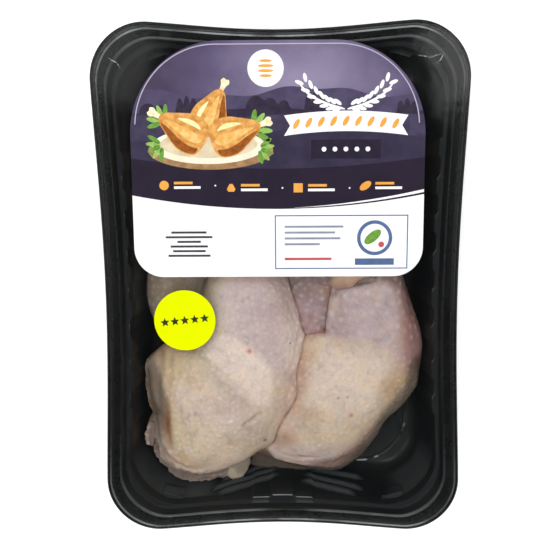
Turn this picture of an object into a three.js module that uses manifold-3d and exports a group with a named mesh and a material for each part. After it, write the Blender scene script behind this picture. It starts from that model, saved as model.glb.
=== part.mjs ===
// A sealed retail pack of raw chicken leg quarters: a black thermoformed tray with a pinched outline,
// a clear film over its flange, a printed label and a round sticker on the film, and four legs inside.
// Millimetres, +Z up. The origin is the centre of the tray's base, +X is the pack's right-hand side
// and +Y is the end with the label.
import * as THREE from "three";
import { mergeVertices } from "three/addons/utils/BufferGeometryUtils.js";
import Module from "manifold-3d";

// Tray
const TRAY_WIDTH = 190;
const TRAY_LENGTH = 268;
const TRAY_HEIGHT = 50;
const SHEET = 1;
const SIDE_PINCH = 3.4;
const END_PINCH = 4.2;
const PINCH_FLATNESS = 0.6;
const RIM_CORNER = 28;
const RIM_ROUND = 0.8;
const FLANGE_WIDTH = 6.5;
const THROAT_ROUND = 0.9;
const LIP_DROP = 3;
const LEDGE_DROP = 8;
const LEDGE_ROUND = 0.5;
const LEDGE_INSET = 9;
const LEDGE_WIDTH = 2.5;
const LEDGE_CORNER = 29;
const BELOW_LEDGE = 3;
const MID_WALL_SHARE = 0.65;
const FOOT_INSET = 17;
const FOOT_HEIGHT = 6;
const FOOT_CORNER = 23;
const FOOT_ROUND = { inset: 1.2, drop: 3.4, corner: -2 };
const FLOOR_INSET = 20.5;
const FLOOR_CORNER = 20;
const CORNER_STEPS = 7;

// Flutes pressed into the long walls, and the stepped pad in the middle of each end wall
const FLUTE_PITCH = 19.5;
const FLUTE_DEPTH = 1.3;
const FLUTE_SHOULDER = 1.6;
const FLUTES = 8;
const FLUTE_SHIFT = 3.3;
const PAD_HALF_WIDTHS = [17, 6.5];
const PAD_STEP = 1.2;
const PAD_SHOULDER = 1.5;
const END_STATIONS = [-46, -32, 32, 46];

// Round ridges on the floor, one near each corner
const RING_RADIUS = 28.5;
const RING_WIDTH = 3;
const RING_HEIGHT = 0.9;
const RING_X = 41;
const RING_Y = 80;
const RING_STEPS = 18;

// Film, label and sticker
const JOINT_GAP = 0.3;
const FILM_THICKNESS = 0.4;
const FILM_INSET = 0.8;
const LABEL_WIDTH = 148;
const LABEL_LENGTH = 118;
const LABEL_CENTRE = [-1.3, 65.5];
const LABEL_TOP_CORNER = 46;
const LABEL_FOOT_CORNER = 15;
const PAPER = 0.3;
const STICKER_RADIUS = 16;
const STICKER_CENTRE = [-50.3, -16.5];

// Legs: the room kept to the tray and the film, and between one leg and the next
const LEG_CLEARANCE = 0.8;
const LEG_GAP = 1.7;
const MERGE_RADIUS = 7;
const SKIN_WAVE = 0.28;
const SKIN_WAVES = 6;
const LONGEST_WAVE = 46;
const WAVE_TURN = 2.4;
const STEP_ALONG_RAY = 1.5;
const FARTHEST_SKIN = 150;

const wasm = await Module();
wasm.setup();

const filmFoot = TRAY_HEIGHT + JOINT_GAP;
const paperFoot = filmFoot + FILM_THICKNESS + JOINT_GAP;

// 0 outside a band of the given half width, 1 inside it, with a straight shoulder between.
function band(distance, halfWidth, shoulder) {
  return THREE.MathUtils.clamp((halfWidth + shoulder / 2 - distance) / shoulder, 0, 1);
}

// How far a side is pulled in at a place along it, from 0 at its ends to the full pinch in its middle.
function pinch(depth, place, halfSpan) {
  const along = THREE.MathUtils.clamp(place / halfSpan, -1, 1);
  return depth * ((1 + Math.cos(Math.PI * along)) / 2) ** PINCH_FLATNESS;
}

// The flutes of a long wall stand into the tray over one half of each pitch.
function flute(y) {
  const middle = Math.abs(y - FLUTE_SHIFT);
  if (middle > (FLUTES * FLUTE_PITCH) / 2) return 0;
  const phase = THREE.MathUtils.euclideanModulo(y - FLUTE_SHIFT, FLUTE_PITCH) - FLUTE_PITCH / 2;
  return FLUTE_DEPTH * band(Math.abs(phase), FLUTE_PITCH / 4, FLUTE_SHOULDER);
}

// The pad of an end wall stands in by one step over each of its half widths.
function pad(x) {
  return PAD_HALF_WIDTHS.reduce((sum, half) => sum + PAD_STEP * band(Math.abs(x), half, PAD_SHOULDER), 0);
}

// Places along a long side where a ring has a point: both edges of every flute's two shoulders.
function fluteStations() {
  const places = [];
  const first = FLUTE_SHIFT - (FLUTES * FLUTE_PITCH) / 2;
  for (let i = 0; i < FLUTES; i += 1) {
    const middle = first + (i + 0.5) * FLUTE_PITCH;
    for (const side of [-1, 1]) {
      const edge = middle + (side * FLUTE_PITCH) / 4;
      places.push(edge - FLUTE_SHOULDER / 2, edge + FLUTE_SHOULDER / 2);
    }
  }
  return places.sort((a, b) => a - b);
}

function padStations() {
  const edges = PAD_HALF_WIDTHS.flatMap((half) => [half - PAD_SHOULDER / 2, half + PAD_SHOULDER / 2]);
  return [...END_STATIONS, ...edges, ...edges.map((x) => -x)].sort((a, b) => a - b);
}

const sideStations = fluteStations();
const endStations = padStations();

// One closed ring of the tray, anticlockwise from above: the rim's outline moved in by inset, with its
// own corner radius. relief is the share of the flutes and pads that this ring carries.
function ring({ inset, z, corner, relief = 0 }) {
  const halfWidth = TRAY_WIDTH / 2 - inset;
  const halfLength = TRAY_LENGTH / 2 - inset;
  const straightX = halfWidth - corner;
  const straightY = halfLength - corner;
  const rimX = TRAY_WIDTH / 2 - RIM_CORNER;
  const rimY = TRAY_LENGTH / 2 - RIM_CORNER;
  const points = [];
  const side = (sign, y) => {
    points.push([sign * (halfWidth - pinch(SIDE_PINCH, y, rimY) - relief * flute(y)), y, z]);
  };
  const end = (sign, x) => {
    points.push([x, sign * (halfLength - pinch(END_PINCH, x, rimX) - relief * pad(x)), z]);
  };
  const cornerArc = (signX, signY, startAngle) => {
    for (let i = 0; i <= CORNER_STEPS; i += 1) {
      const angle = startAngle + (i / CORNER_STEPS) * (Math.PI / 2);
      const x = signX * straightX + corner * Math.cos(angle);
      const y = signY * straightY + corner * Math.sin(angle);
      const pullX = pinch(SIDE_PINCH, Math.abs(y), rimY) * Math.abs(Math.cos(angle));
      const pullY = pinch(END_PINCH, Math.abs(x), rimX) * Math.abs(Math.sin(angle));
      points.push([x - signX * pullX, y - signY * pullY, z]);
    }
  };
  sideStations.forEach((y) => side(1, y));
  cornerArc(1, 1, 0);
  [...endStations].reverse().forEach((x) => end(1, x));
  cornerArc(-1, 1, Math.PI / 2);
  [...sideStations].reverse().forEach((y) => side(-1, y));
  cornerArc(-1, -1, Math.PI);
  endStations.forEach((x) => end(-1, x));
  cornerArc(1, -1, 1.5 * Math.PI);
  return points;
}

// The inner skin of the wall between the ledge and the foot: its inset and corner radius at a height.
const LEDGE_Z = TRAY_HEIGHT - LEDGE_DROP;
const WALL_TOP = { inset: LEDGE_INSET + LEDGE_WIDTH + RIM_ROUND, z: LEDGE_Z - BELOW_LEDGE };
function wallAt(z) {
  const share = THREE.MathUtils.clamp((WALL_TOP.z - z) / (WALL_TOP.z - FOOT_HEIGHT), 0, 1);
  return {
    inset: THREE.MathUtils.lerp(WALL_TOP.inset, FOOT_INSET, share),
    corner: THREE.MathUtils.lerp(LEDGE_CORNER, FOOT_CORNER, share),
    z,
  };
}

const MID_WALL_Z = THREE.MathUtils.lerp(WALL_TOP.z, FOOT_HEIGHT, MID_WALL_SHARE);
const FOOT_BEND = {
  inset: FOOT_INSET + FOOT_ROUND.inset,
  z: FOOT_HEIGHT - FOOT_ROUND.drop,
  corner: FOOT_CORNER + FOOT_ROUND.corner,
};

// The inner skin from the foot of the outer lip over the flange, down the wall and onto the floor.
function innerSkin() {
  const throatCorner = RIM_CORNER - 2;
  return [
    { inset: 0, z: TRAY_HEIGHT - LIP_DROP, corner: RIM_CORNER },
    { inset: 0, z: TRAY_HEIGHT - RIM_ROUND, corner: RIM_CORNER },
    { inset: RIM_ROUND, z: TRAY_HEIGHT, corner: RIM_CORNER - RIM_ROUND },
    { inset: FLANGE_WIDTH, z: TRAY_HEIGHT, corner: throatCorner },
    { inset: FLANGE_WIDTH + THROAT_ROUND, z: TRAY_HEIGHT - THROAT_ROUND, corner: throatCorner },
    { inset: LEDGE_INSET, z: LEDGE_Z + LEDGE_ROUND, corner: LEDGE_CORNER - 1 },
    { inset: LEDGE_INSET + LEDGE_ROUND, z: LEDGE_Z, corner: LEDGE_CORNER },
    { inset: LEDGE_INSET + LEDGE_WIDTH, z: LEDGE_Z - LEDGE_ROUND, corner: LEDGE_CORNER, relief: 1 },
    { ...wallAt(WALL_TOP.z), relief: 1 },
    { ...wallAt(MID_WALL_Z), relief: 1 },
    { ...wallAt(FOOT_HEIGHT), relief: 0.5 },
    FOOT_BEND,
    { inset: FLOOR_INSET, z: SHEET, corner: FLOOR_CORNER },
  ];
}

// The outer skin from under the floor back up to the foot of the lip, one sheet behind the inner one.
function outerSkin() {
  const under = TRAY_HEIGHT - SHEET;
  const behind = (bend) => ({ ...bend, inset: bend.inset - SHEET });
  return [
    { inset: FLOOR_INSET - SHEET / 3, z: 0, corner: FLOOR_CORNER },
    { ...behind(FOOT_BEND), z: FOOT_BEND.z - SHEET / 2 },
    { ...behind(wallAt(FOOT_HEIGHT)), relief: 0.5 },
    { ...behind(wallAt(MID_WALL_Z)), relief: 1 },
    { ...behind(wallAt(WALL_TOP.z)), relief: 1 },
    { inset: LEDGE_INSET + LEDGE_WIDTH - SHEET, z: LEDGE_Z - 1.2 * SHEET, corner: LEDGE_CORNER, relief: 1 },
    { inset: LEDGE_INSET - SHEET / 2, z: LEDGE_Z - SHEET, corner: LEDGE_CORNER },
    { inset: FLANGE_WIDTH - SHEET, z: under, corner: RIM_CORNER - 2 },
    { inset: SHEET, z: under, corner: RIM_CORNER - SHEET },
    { inset: SHEET, z: TRAY_HEIGHT - LIP_DROP, corner: RIM_CORNER - SHEET },
  ];
}

// Joins rings of equal length into a closed skin. The last ring closes onto the first, unless cap is the
// index of the ring after which the skin is shut across and starts again.
function loft(rings, cap) {
  const count = rings[0].length;
  const positions = rings.flat(2);
  const index = [];
  for (let r = 0; r < rings.length; r += 1) {
    const next = (r + 1) % rings.length;
    if (r !== cap) {
      for (let i = 0; i < count; i += 1) {
        const j = (i + 1) % count;
        const [a, b, c, d] = [r * count + i, r * count + j, next * count + j, next * count + i];
        index.push(a, b, c, a, c, d);
      }
    }
  }
  const shut = (r, up) => {
    const outline = rings[r].map(([x, y]) => new THREE.Vector2(x, y));
    for (const [a, b, c] of THREE.ShapeUtils.triangulateShape(outline, [])) {
      const corners = up ? [a, b, c] : [c, b, a];
      index.push(...corners.map((k) => r * count + k));
    }
  };
  shut(cap, true);
  shut(cap + 1, false);
  const geometry = new THREE.BufferGeometry();
  geometry.setAttribute("position", new THREE.Float32BufferAttribute(positions, 3));
  geometry.setIndex(index);
  return geometry;
}

// A three.js geometry as a manifold solid, and back.
function solid(geometry) {
  const bare = geometry.clone();
  bare.deleteAttribute("normal");
  bare.deleteAttribute("uv");
  const merged = mergeVertices(bare, 1e-4);
  const vertProperties = Float32Array.from(merged.attributes.position.array);
  const triVerts = Uint32Array.from(merged.index.array);
  return new wasm.Manifold(new wasm.Mesh({ numProp: 3, vertProperties, triVerts }));
}

function fromSolid(body) {
  const { vertProperties, triVerts, numProp } = body.getMesh();
  const positions = [];
  for (let i = 0; i < vertProperties.length; i += numProp) {
    positions.push(...vertProperties.slice(i, i + 3));
  }
  const geometry = new THREE.BufferGeometry();
  geometry.setAttribute("position", new THREE.Float32BufferAttribute(positions, 3));
  geometry.setIndex([...triVerts]);
  return geometry;
}

// A round ridge that stands on the floor, with its foot sunk into the sheet.
function floorRing(x, y) {
  const inner = RING_RADIUS - RING_WIDTH / 2;
  const outer = RING_RADIUS + RING_WIDTH / 2;
  const foot = SHEET / 2;
  const crown = SHEET + RING_HEIGHT;
  const profile = [
    new THREE.Vector2(inner, foot),
    new THREE.Vector2(outer, foot),
    new THREE.Vector2(RING_RADIUS + RING_WIDTH / 4, crown),
    new THREE.Vector2(RING_RADIUS - RING_WIDTH / 4, crown),
    new THREE.Vector2(inner, foot),
  ];
  return new THREE.LatheGeometry(profile, RING_STEPS).rotateX(Math.PI / 2).translate(x, y, 0);
}

function tray() {
  const inner = innerSkin();
  const rings = [...inner, ...outerSkin()].map(ring);
  let body = solid(loft(rings, inner.length - 1));
  for (const x of [-RING_X, RING_X]) {
    for (const y of [-RING_Y, RING_Y]) body = body.add(solid(floorRing(x, y)));
  }
  return fromSolid(body);
}

function film() {
  const outline = ring({ inset: FILM_INSET, z: 0, corner: RIM_CORNER - FILM_INSET });
  const shape = new THREE.Shape(outline.map(([x, y]) => new THREE.Vector2(x, y)));
  const sheet = new THREE.ExtrudeGeometry(shape, { depth: FILM_THICKNESS, bevelEnabled: false });
  return sheet.translate(0, 0, filmFoot);
}

function label() {
  const [halfWidth, halfLength] = [LABEL_WIDTH / 2, LABEL_LENGTH / 2];
  const [top, foot] = [LABEL_TOP_CORNER, LABEL_FOOT_CORNER];
  const shape = new THREE.Shape();
  shape.absarc(halfWidth - foot, foot - halfLength, foot, -Math.PI / 2, 0);
  shape.absarc(halfWidth - top, halfLength - top, top, 0, Math.PI / 2);
  shape.absarc(top - halfWidth, halfLength - top, top, Math.PI / 2, Math.PI);
  shape.absarc(foot - halfWidth, foot - halfLength, foot, Math.PI, 1.5 * Math.PI);
  const paper = new THREE.ExtrudeGeometry(shape, { depth: PAPER, bevelEnabled: false, curveSegments: 6 });
  return paper.translate(...LABEL_CENTRE, paperFoot);
}

function sticker() {
  const disc = new THREE.CylinderGeometry(STICKER_RADIUS, STICKER_RADIUS, PAPER, 40);
  return disc.rotateX(Math.PI / 2).translate(...STICKER_CENTRE, paperFoot + PAPER / 2);
}

// A mass of flesh: an ellipsoid with its centre, its half length, half width and half height, and the
// turn of its length about +Z from +X, in degrees. pitch tips the far end up.
function mass(centre, halfSizes, turn = 0, pitch = 0) {
  const euler = new THREE.Euler(0, -THREE.MathUtils.degToRad(pitch), THREE.MathUtils.degToRad(turn), "ZYX");
  return {
    centre: new THREE.Vector3(...centre),
    halfSizes: new THREE.Vector3(...halfSizes),
    back: new THREE.Quaternion().setFromEuler(euler).invert(),
  };
}

// Distance to a mass, negative inside it.
function distanceToMass(point, { centre, halfSizes, back }) {
  const p = point.clone().sub(centre).applyQuaternion(back);
  const scaled = p.clone().divide(halfSizes);
  const reach = scaled.length();
  if (reach < 1e-6) return -Math.min(...halfSizes.toArray());
  return (reach * (reach - 1)) / scaled.divide(halfSizes).length();
}

// Shallow swells of the skin over the flesh: a few waves, each turned on from the last and shorter.
function skinWave({ x, y, z }) {
  let height = 0;
  for (let k = 1; k <= SKIN_WAVES; k += 1) {
    const turn = k * WAVE_TURN;
    const along = x * Math.cos(turn) + y * Math.sin(turn) + 0.5 * z * Math.cos(2 * turn);
    height += Math.sin((2 * Math.PI * along * k ** 0.4) / LONGEST_WAVE + k * k) / k ** 0.5;
  }
  return SKIN_WAVE * height;
}

// Distance to flesh made of several masses that run into each other.
function distanceToFlesh(point, masses) {
  let distance = Infinity;
  for (const one of masses) {
    const other = distanceToMass(point, one);
    const blend = Math.max(MERGE_RADIUS - Math.abs(distance - other), 0) / MERGE_RADIUS;
    distance = Math.min(distance, other) - (blend * blend * MERGE_RADIUS) / 4;
  }
  return distance + skinWave(point);
}

// How far a point stands clear of the tray's inner skin and of the film, negative outside.
function roomInTray({ x, y, z }) {
  const wall = wallAt(z);
  const corner = wall.corner;
  const inset = wall.inset + FLUTE_DEPTH;
  const straightX = TRAY_WIDTH / 2 - inset - corner - pinch(SIDE_PINCH, y, TRAY_LENGTH / 2 - RIM_CORNER);
  const straightY = TRAY_LENGTH / 2 - inset - corner - pinch(END_PINCH, x, TRAY_WIDTH / 2 - RIM_CORNER);
  const [dx, dy] = [Math.abs(x) - straightX, Math.abs(y) - straightY];
  const outside = Math.hypot(Math.max(dx, 0), Math.max(dy, 0)) + Math.min(Math.max(dx, dy), 0);
  const fillet = Math.max(FOOT_HEIGHT - z, 0) * ((FLOOR_INSET - FOOT_INSET) / FOOT_HEIGHT);
  const toWall = corner - outside - fillet;
  return Math.min(toWall, z - SHEET - RING_HEIGHT, filmFoot - z) - LEG_CLEARANCE;
}

// A leg's skin: an icosphere, stretched to the leg's rough half sizes, whose points are moved along
// their rays from the heart to where the flesh, the tray, the film or a leg lying against it ends.
function leg({ heart, stretch, detail, masses, against = [] }) {
  const start = new THREE.Vector3(...heart);
  const ball = new THREE.IcosahedronGeometry(1, detail);
  ball.deleteAttribute("normal");
  ball.deleteAttribute("uv");
  const geometry = mergeVertices(ball, 1e-4);
  const depth = (point) => {
    const neighbours = against.map((other) => LEG_GAP - distanceToFlesh(point, other));
    return Math.max(distanceToFlesh(point, masses), -roomInTray(point), ...neighbours);
  };
  const position = geometry.attributes.position;
  for (let i = 0; i < position.count; i += 1) {
    const ray = new THREE.Vector3().fromBufferAttribute(position, i);
    ray.multiply(new THREE.Vector3(...stretch)).normalize();
    const at = (t) => start.clone().addScaledVector(ray, t);
    let inside = 0;
    while (inside < FARTHEST_SKIN && depth(at(inside + STEP_ALONG_RAY)) < 0) inside += STEP_ALONG_RAY;
    let outside = inside + STEP_ALONG_RAY;
    for (let k = 0; k < 16; k += 1) {
      const middle = (inside + outside) / 2;
      if (depth(at(middle)) < 0) inside = middle;
      else outside = middle;
    }
    position.setXYZ(i, ...at(inside).toArray());
  }
  return geometry;
}

// Front left leg, lying on top of the others: thick drumstick, broad thigh and the loose skin round it.
const frontLeft = [
  mass([-17, -26, 28], [43, 28, 19], 93),
  mass([-33.5, -65, 26], [39.5, 37.5, 20], 40),
  mass([-60, -58, 22], [25, 16, 15], 80),
  mass([-46, -94, 20], [29, 20, 16], -12),
  mass([-26, 30, 25], [46, 15, 14], 100),
  mass([-28, -109, 14], [9, 8, 7], 60),
  mass([-71, -87, 15], [11, 7, 8], 80),
];

// The skin and thigh of the back right leg that lie over the front right drumstick.
const backRightThigh = [
  mass([45, 68, 27], [46, 33, 20], 100),
  mass([41, 12.5, 38], [23, 12, 7], 19),
];

// Front right leg, partly under the front left one.
const frontRight = [
  mass([51, -26, 25], [54, 25.5, 19], 95),
  mass([31, -66, 22], [46, 32, 19], 53.5),
  mass([17, -94, 16], [31, 16, 13], -4),
  mass([21, -50, 20], [17, 16, 14], 0),
  mass([42, 18, 14], [38, 14, 11], 98),
];

// The drumstick of the back right leg, which ends low down between the two front legs.
const backRight = [
  ...backRightThigh,
  mass([18, -8, 18], [44, 15, 15], 94),
  mass([27, 30, 26], [30, 15, 14], 70),
];

// Back left leg, low down beside the front left drumstick.
const backLeft = [
  mass([-47, 66, 25], [47, 35, 21], 88),
  mass([-58, 0, 18], [32, 17, 15], 82),
];

const legs = {
  leg_front_left: { heart: [-28, -50, 25], stretch: [42, 70, 22], detail: 9, masses: frontLeft },
  leg_front_right: {
    heart: [40, -52, 20],
    stretch: [40, 64, 20],
    detail: 9,
    masses: frontRight,
    against: [frontLeft, backRightThigh],
  },
  leg_back_right: {
    heart: [30, 36, 31],
    stretch: [36, 66, 22],
    detail: 7,
    masses: backRight,
    against: [frontLeft, frontRight],
  },
  leg_back_left: {
    heart: [-52, 44, 24],
    stretch: [36, 66, 22],
    detail: 6,
    masses: backLeft,
    against: [frontLeft, backRight],
  },
};

const plastic = new THREE.MeshStandardMaterial({ color: 0x1a1c1e, roughness: 0.32, metalness: 0 });
const clear = new THREE.MeshStandardMaterial({
  color: 0xffffff,
  roughness: 0.08,
  metalness: 0,
  transparent: true,
  opacity: 0.15,
});
const paper = new THREE.MeshStandardMaterial({ color: 0x5a4f70, roughness: 0.45, metalness: 0 });
const yellow = new THREE.MeshStandardMaterial({ color: 0xf0fa10, roughness: 0.5, metalness: 0 });
const skin = new THREE.MeshStandardMaterial({ color: 0xd9c6b4, roughness: 0.4, metalness: 0 });

const pack = new THREE.Group();
function place(name, geometry, material) {
  const mesh = new THREE.Mesh(geometry, material);
  mesh.name = name;
  pack.add(mesh);
}

place("tray", tray(), plastic);
place("film", film(), clear);
place("label", label(), paper);
place("sticker", sticker(), yellow);
for (const [name, form] of Object.entries(legs)) place(name, leg(form), skin);

export default pack;
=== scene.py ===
"""Looks of a sealed tray pack of raw chicken legs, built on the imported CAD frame.

Lengths in the classes are millimetres, as on a drawing, and meshes are in metres.
"""

from __future__ import annotations

import logging
import math
from collections.abc import Callable
from dataclasses import dataclass, field
from enum import Enum

import bpy
import numpy as np
from mathutils import Matrix, Vector, bvhtree, kdtree

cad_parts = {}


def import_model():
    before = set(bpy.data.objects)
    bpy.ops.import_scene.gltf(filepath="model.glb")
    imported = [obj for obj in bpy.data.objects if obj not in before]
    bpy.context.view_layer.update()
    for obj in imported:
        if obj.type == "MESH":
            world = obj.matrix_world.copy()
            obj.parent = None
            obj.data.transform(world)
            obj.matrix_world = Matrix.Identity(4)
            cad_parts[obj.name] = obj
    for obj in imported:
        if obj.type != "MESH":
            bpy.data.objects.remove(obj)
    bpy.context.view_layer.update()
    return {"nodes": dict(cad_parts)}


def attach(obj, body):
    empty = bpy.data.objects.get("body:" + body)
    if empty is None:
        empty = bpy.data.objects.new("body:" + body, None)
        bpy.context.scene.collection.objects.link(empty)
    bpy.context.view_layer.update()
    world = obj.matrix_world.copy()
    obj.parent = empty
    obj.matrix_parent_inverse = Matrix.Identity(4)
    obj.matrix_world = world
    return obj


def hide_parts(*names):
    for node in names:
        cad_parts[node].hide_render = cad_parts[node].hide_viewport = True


LOG = logging.getLogger("chicken_pack")
MM = 0.001
SKIN_TONE = "skin_tone"
# The attribute that holds the painted highlights on the tray's pressed edges
EDGE_HIGHLIGHT = "edge_highlight"
FOLLICLE_POOL = 16000  # the most points that pimples are picked from
SKIN_OVERLAP = 0.4  # how far each of two touching skins is pressed into the other, in mm

# A mesh object, numbers that go together, and the rules for a surface and for a curve, in mm
Piece = bpy.types.Object
Pair = tuple[float, float]
Triple = tuple[float, float, float]
Colour = tuple[float, float, float, float]
Place = Callable[[np.ndarray, np.ndarray], np.ndarray]
Curve = Callable[[np.ndarray], np.ndarray]


# Modelling


def deselect() -> None:
    """Leaves object mode with nothing selected."""
    if bpy.context.object and bpy.context.object.mode != "OBJECT":
        bpy.ops.object.mode_set(mode="OBJECT")
    bpy.ops.object.select_all(action="DESELECT")


def activate(piece: Piece) -> None:
    """Makes a piece the only selected object and the active one."""
    deselect()
    piece.select_set(True)
    bpy.context.view_layer.objects.active = piece


def read_points(piece: Piece) -> np.ndarray:
    """Returns the vertices of a piece in millimetres, one row each."""
    flat = np.empty(len(piece.data.vertices) * 3)
    piece.data.vertices.foreach_get("co", flat)
    return flat.reshape(-1, 3) / MM


def write_points(piece: Piece, points: np.ndarray) -> None:
    """Moves the vertices of a piece to places given in millimetres."""
    piece.data.vertices.foreach_set("co", (points * MM).ravel())
    piece.data.update()


def read_normals(piece: Piece) -> np.ndarray:
    """Returns the vertex normals of a piece, one row each."""
    flat = np.empty(len(piece.data.vertices) * 3)
    piece.data.vertex_normals.foreach_get("vector", flat)
    return flat.reshape(-1, 3)


def modify(piece: Piece, kind: str, **settings: object) -> None:
    """Adds a modifier to a piece and applies it.

    Args:
        piece: The object to change.
        kind: Blender's name for the modifier, such as SUBSURF.
        settings: The modifier's own properties.
    """
    activate(piece)
    modifier = piece.modifiers.new(kind.lower(), kind)
    for name, value in settings.items():
        setattr(modifier, name, value)
    bpy.ops.object.modifier_apply(modifier=modifier.name)


def edit(piece: Piece, *steps: Callable[[], object]) -> None:
    """Runs mesh operators on the whole of a piece in edit mode.

    Args:
        piece: The object to change.
        steps: Operators to run in order, each with everything selected.
    """
    activate(piece)
    bpy.ops.object.mode_set(mode="EDIT")
    for step in steps:
        bpy.ops.mesh.select_all(action="SELECT")
        step()
    bpy.ops.object.mode_set(mode="OBJECT")


def smooth(piece: Piece, angle: float = 35.0) -> None:
    """Shades a piece smooth, except at edges sharper than an angle in degrees."""
    activate(piece)
    bpy.ops.object.shade_smooth_by_angle(angle=math.radians(angle))


def wrapped_grid(name: str, columns: int, rows: int, place: Place) -> Piece:
    """Lays a grid primitive along a surface that is given by two numbers.

    Args:
        name: The new object's name.
        columns: Faces across the grid.
        rows: Faces along the grid.
        place: Gives a point in mm for each column and row number.

    Returns:
        The new mesh object, with coinciding vertices merged.
    """
    deselect()
    bpy.ops.mesh.primitive_grid_add(x_subdivisions=columns, y_subdivisions=rows, size=2)
    piece = bpy.context.object
    piece.name = piece.data.name = name
    flat = read_points(piece) * MM
    column = np.rint((flat[:, 0] + 1) / 2 * columns)
    row = np.rint((flat[:, 1] + 1) / 2 * rows)
    write_points(piece, place(column, row))
    edit(piece, lambda: bpy.ops.mesh.remove_doubles(threshold=1e-7))
    return piece


def shaped_disc(name: str, outline: np.ndarray, height: float) -> Piece:
    """Draws a circle primitive out to an outline, as a flat face.

    Args:
        name: The new object's name.
        outline: Points in mm, anticlockwise from above.
        height: The face's height in mm.

    Returns:
        The new mesh object.
    """
    deselect()
    bpy.ops.mesh.primitive_circle_add(vertices=len(outline), radius=1, fill_type="NGON")
    piece = bpy.context.object
    piece.name = piece.data.name = name
    flat = read_points(piece)[: len(outline)]
    turn = np.arctan2(flat[:, 1], flat[:, 0])
    order = np.argsort(np.argsort(np.mod(turn - turn[0] + 1e-6, 2 * np.pi)))
    if np.cross(outline - outline.mean(0), np.roll(outline, -1, 0) - outline.mean(0)).sum() < 0:
        outline = outline[::-1]
    write_points(piece, np.column_stack([outline[order], np.full(len(outline), height)]))
    face_towards(piece)
    return piece


def face_towards(piece: Piece, way: Triple = (0, 0, 1)) -> None:
    """Turns a piece's faces over if its middle one looks against a direction."""
    faces = piece.data.polygons
    if faces[len(faces) // 2].normal.dot(Vector(way)) < 0:
        edit(piece, bpy.ops.mesh.flip_normals)


def search_tree(points: np.ndarray) -> kdtree.KDTree:
    """Returns points in mm, one row each, as a search tree."""
    tree = kdtree.KDTree(len(points))
    for i, point in enumerate(points):
        tree.insert(point, i)
    tree.balance()
    return tree


def paper_body(name: str, outline: np.ndarray, foot: float, top: float) -> Piece:
    """Returns a sheet of paper as a thin closed body between two heights in mm."""
    sheet = shaped_disc(name, outline, foot)

    def thicken() -> None:
        bpy.ops.mesh.extrude_region_move(TRANSFORM_OT_translate={"value": (0, 0, (top - foot) * MM)})

    edit(sheet, thicken, bpy.ops.mesh.normals_make_consistent)
    smooth(sheet, 30)
    return sheet


def join(pieces: list[Piece], name: str) -> Piece:
    """Joins pieces into the first one and names it."""
    activate(pieces[0])
    for piece in pieces[1:]:
        piece.select_set(True)
    bpy.ops.object.join()
    joined = bpy.context.object
    joined.name = joined.data.name = name
    return joined


def paint_attribute(piece: Piece, name: str, colours: np.ndarray) -> None:
    """Gives each vertex of a piece a linear colour.

    Args:
        piece: The object to paint.
        name: The attribute's name.
        colours: Red, green and blue, one row for each vertex, or one grey value for each.
    """
    if colours.ndim == 1:
        colours = np.repeat(colours[:, None], 3, axis=1)
    rgba = np.column_stack([colours, np.ones(len(colours))]).astype(np.float32)
    layer = piece.data.color_attributes.new(name=name, type="FLOAT_COLOR", domain="POINT")
    layer.data.foreach_set("color", rgba.ravel())


def adopt(piece: Piece, slot: str, material: bpy.types.Material, *nodes: str) -> None:
    """Dresses a finished piece, hands it to the frame and reports it.

    Args:
        piece: The finished object.
        slot: The record's material slot. It is not used.
        material: The piece's finish.
        nodes: CAD nodes that the piece stands for.
    """
    piece.data.materials.clear()
    piece.data.materials.append(material)
    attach(piece, "root")
    if nodes:
        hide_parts(*nodes)
    faces = sum(len(p.vertices) - 2 for p in piece.data.polygons)
    low, high = np.round(read_points(piece).min(0), 1), np.round(read_points(piece).max(0), 1)
    LOG.info("%s: %d triangles, %s to %s mm", piece.name, faces, low.tolist(), high.tolist())


# Curves and soft masks, in millimetres seen from above


def raised(plan: np.ndarray, height: float | np.ndarray) -> np.ndarray:
    """Returns places of the plan, one row each, with their height as the third column."""
    return np.column_stack([plan, np.broadcast_to(height, len(plan))])


def heading(degrees: float) -> Pair:
    """Returns the cosine and the sine of an angle in degrees."""
    return math.cos(math.radians(degrees)), math.sin(math.radians(degrees))


def ease(low: float, high: float, value: float | np.ndarray) -> float | np.ndarray:
    """Returns 0 below low, 1 above high and a smooth change between."""
    share = np.clip((value - low) / (high - low), 0, 1)
    return share * share * (3 - 2 * share)


def within(half: float, edge: float, value: np.ndarray) -> np.ndarray:
    """Returns 1 nearer to zero than half and 0 beyond it, with a smooth change of edge on either side."""
    return 1 - ease(half - edge, half + edge, np.abs(value))


def tapered(share: np.ndarray, blunt: float = 1.0) -> np.ndarray:
    """Returns a width that is 0 at both ends of a path and up to 1 between, the sooner the blunter it is."""
    return np.sqrt(np.clip(np.sin(np.pi * np.clip(share, 0.0, 1.0)) * blunt, 0, 1))


def path_distance(points: np.ndarray, path: np.ndarray) -> tuple[np.ndarray, np.ndarray, np.ndarray]:
    """Measures points against a polyline.

    Args:
        points: Places in the plane, one row each.
        path: The polyline's corners.

    Returns:
        The distance of each point, the same signed (left of the path is positive), and how far along
        the path its nearest place is, from 0 to 1.
    """
    steps = np.diff(path, axis=0)
    lengths = np.maximum(np.linalg.norm(steps, axis=1), 1e-9)
    before = np.concatenate([[0], np.cumsum(lengths)])
    best = np.full(len(points), np.inf)
    signed = np.zeros(len(points))
    along = np.zeros(len(points))
    for start, step, length, passed in zip(path[:-1], steps, lengths, before):
        away = points - start
        share = np.clip(away @ step / length**2, 0, 1)
        offset = away - share[:, None] * step
        distance = np.hypot(offset[:, 0], offset[:, 1])
        nearer = distance < best
        best = np.where(nearer, distance, best)
        side = np.where(step[0] * away[:, 1] - step[1] * away[:, 0] >= 0, 1.0, -1.0)
        signed = np.where(nearer, side * distance, signed)
        along = np.where(nearer, (passed + share * length) / before[-1], along)
    return best, signed, along


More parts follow.
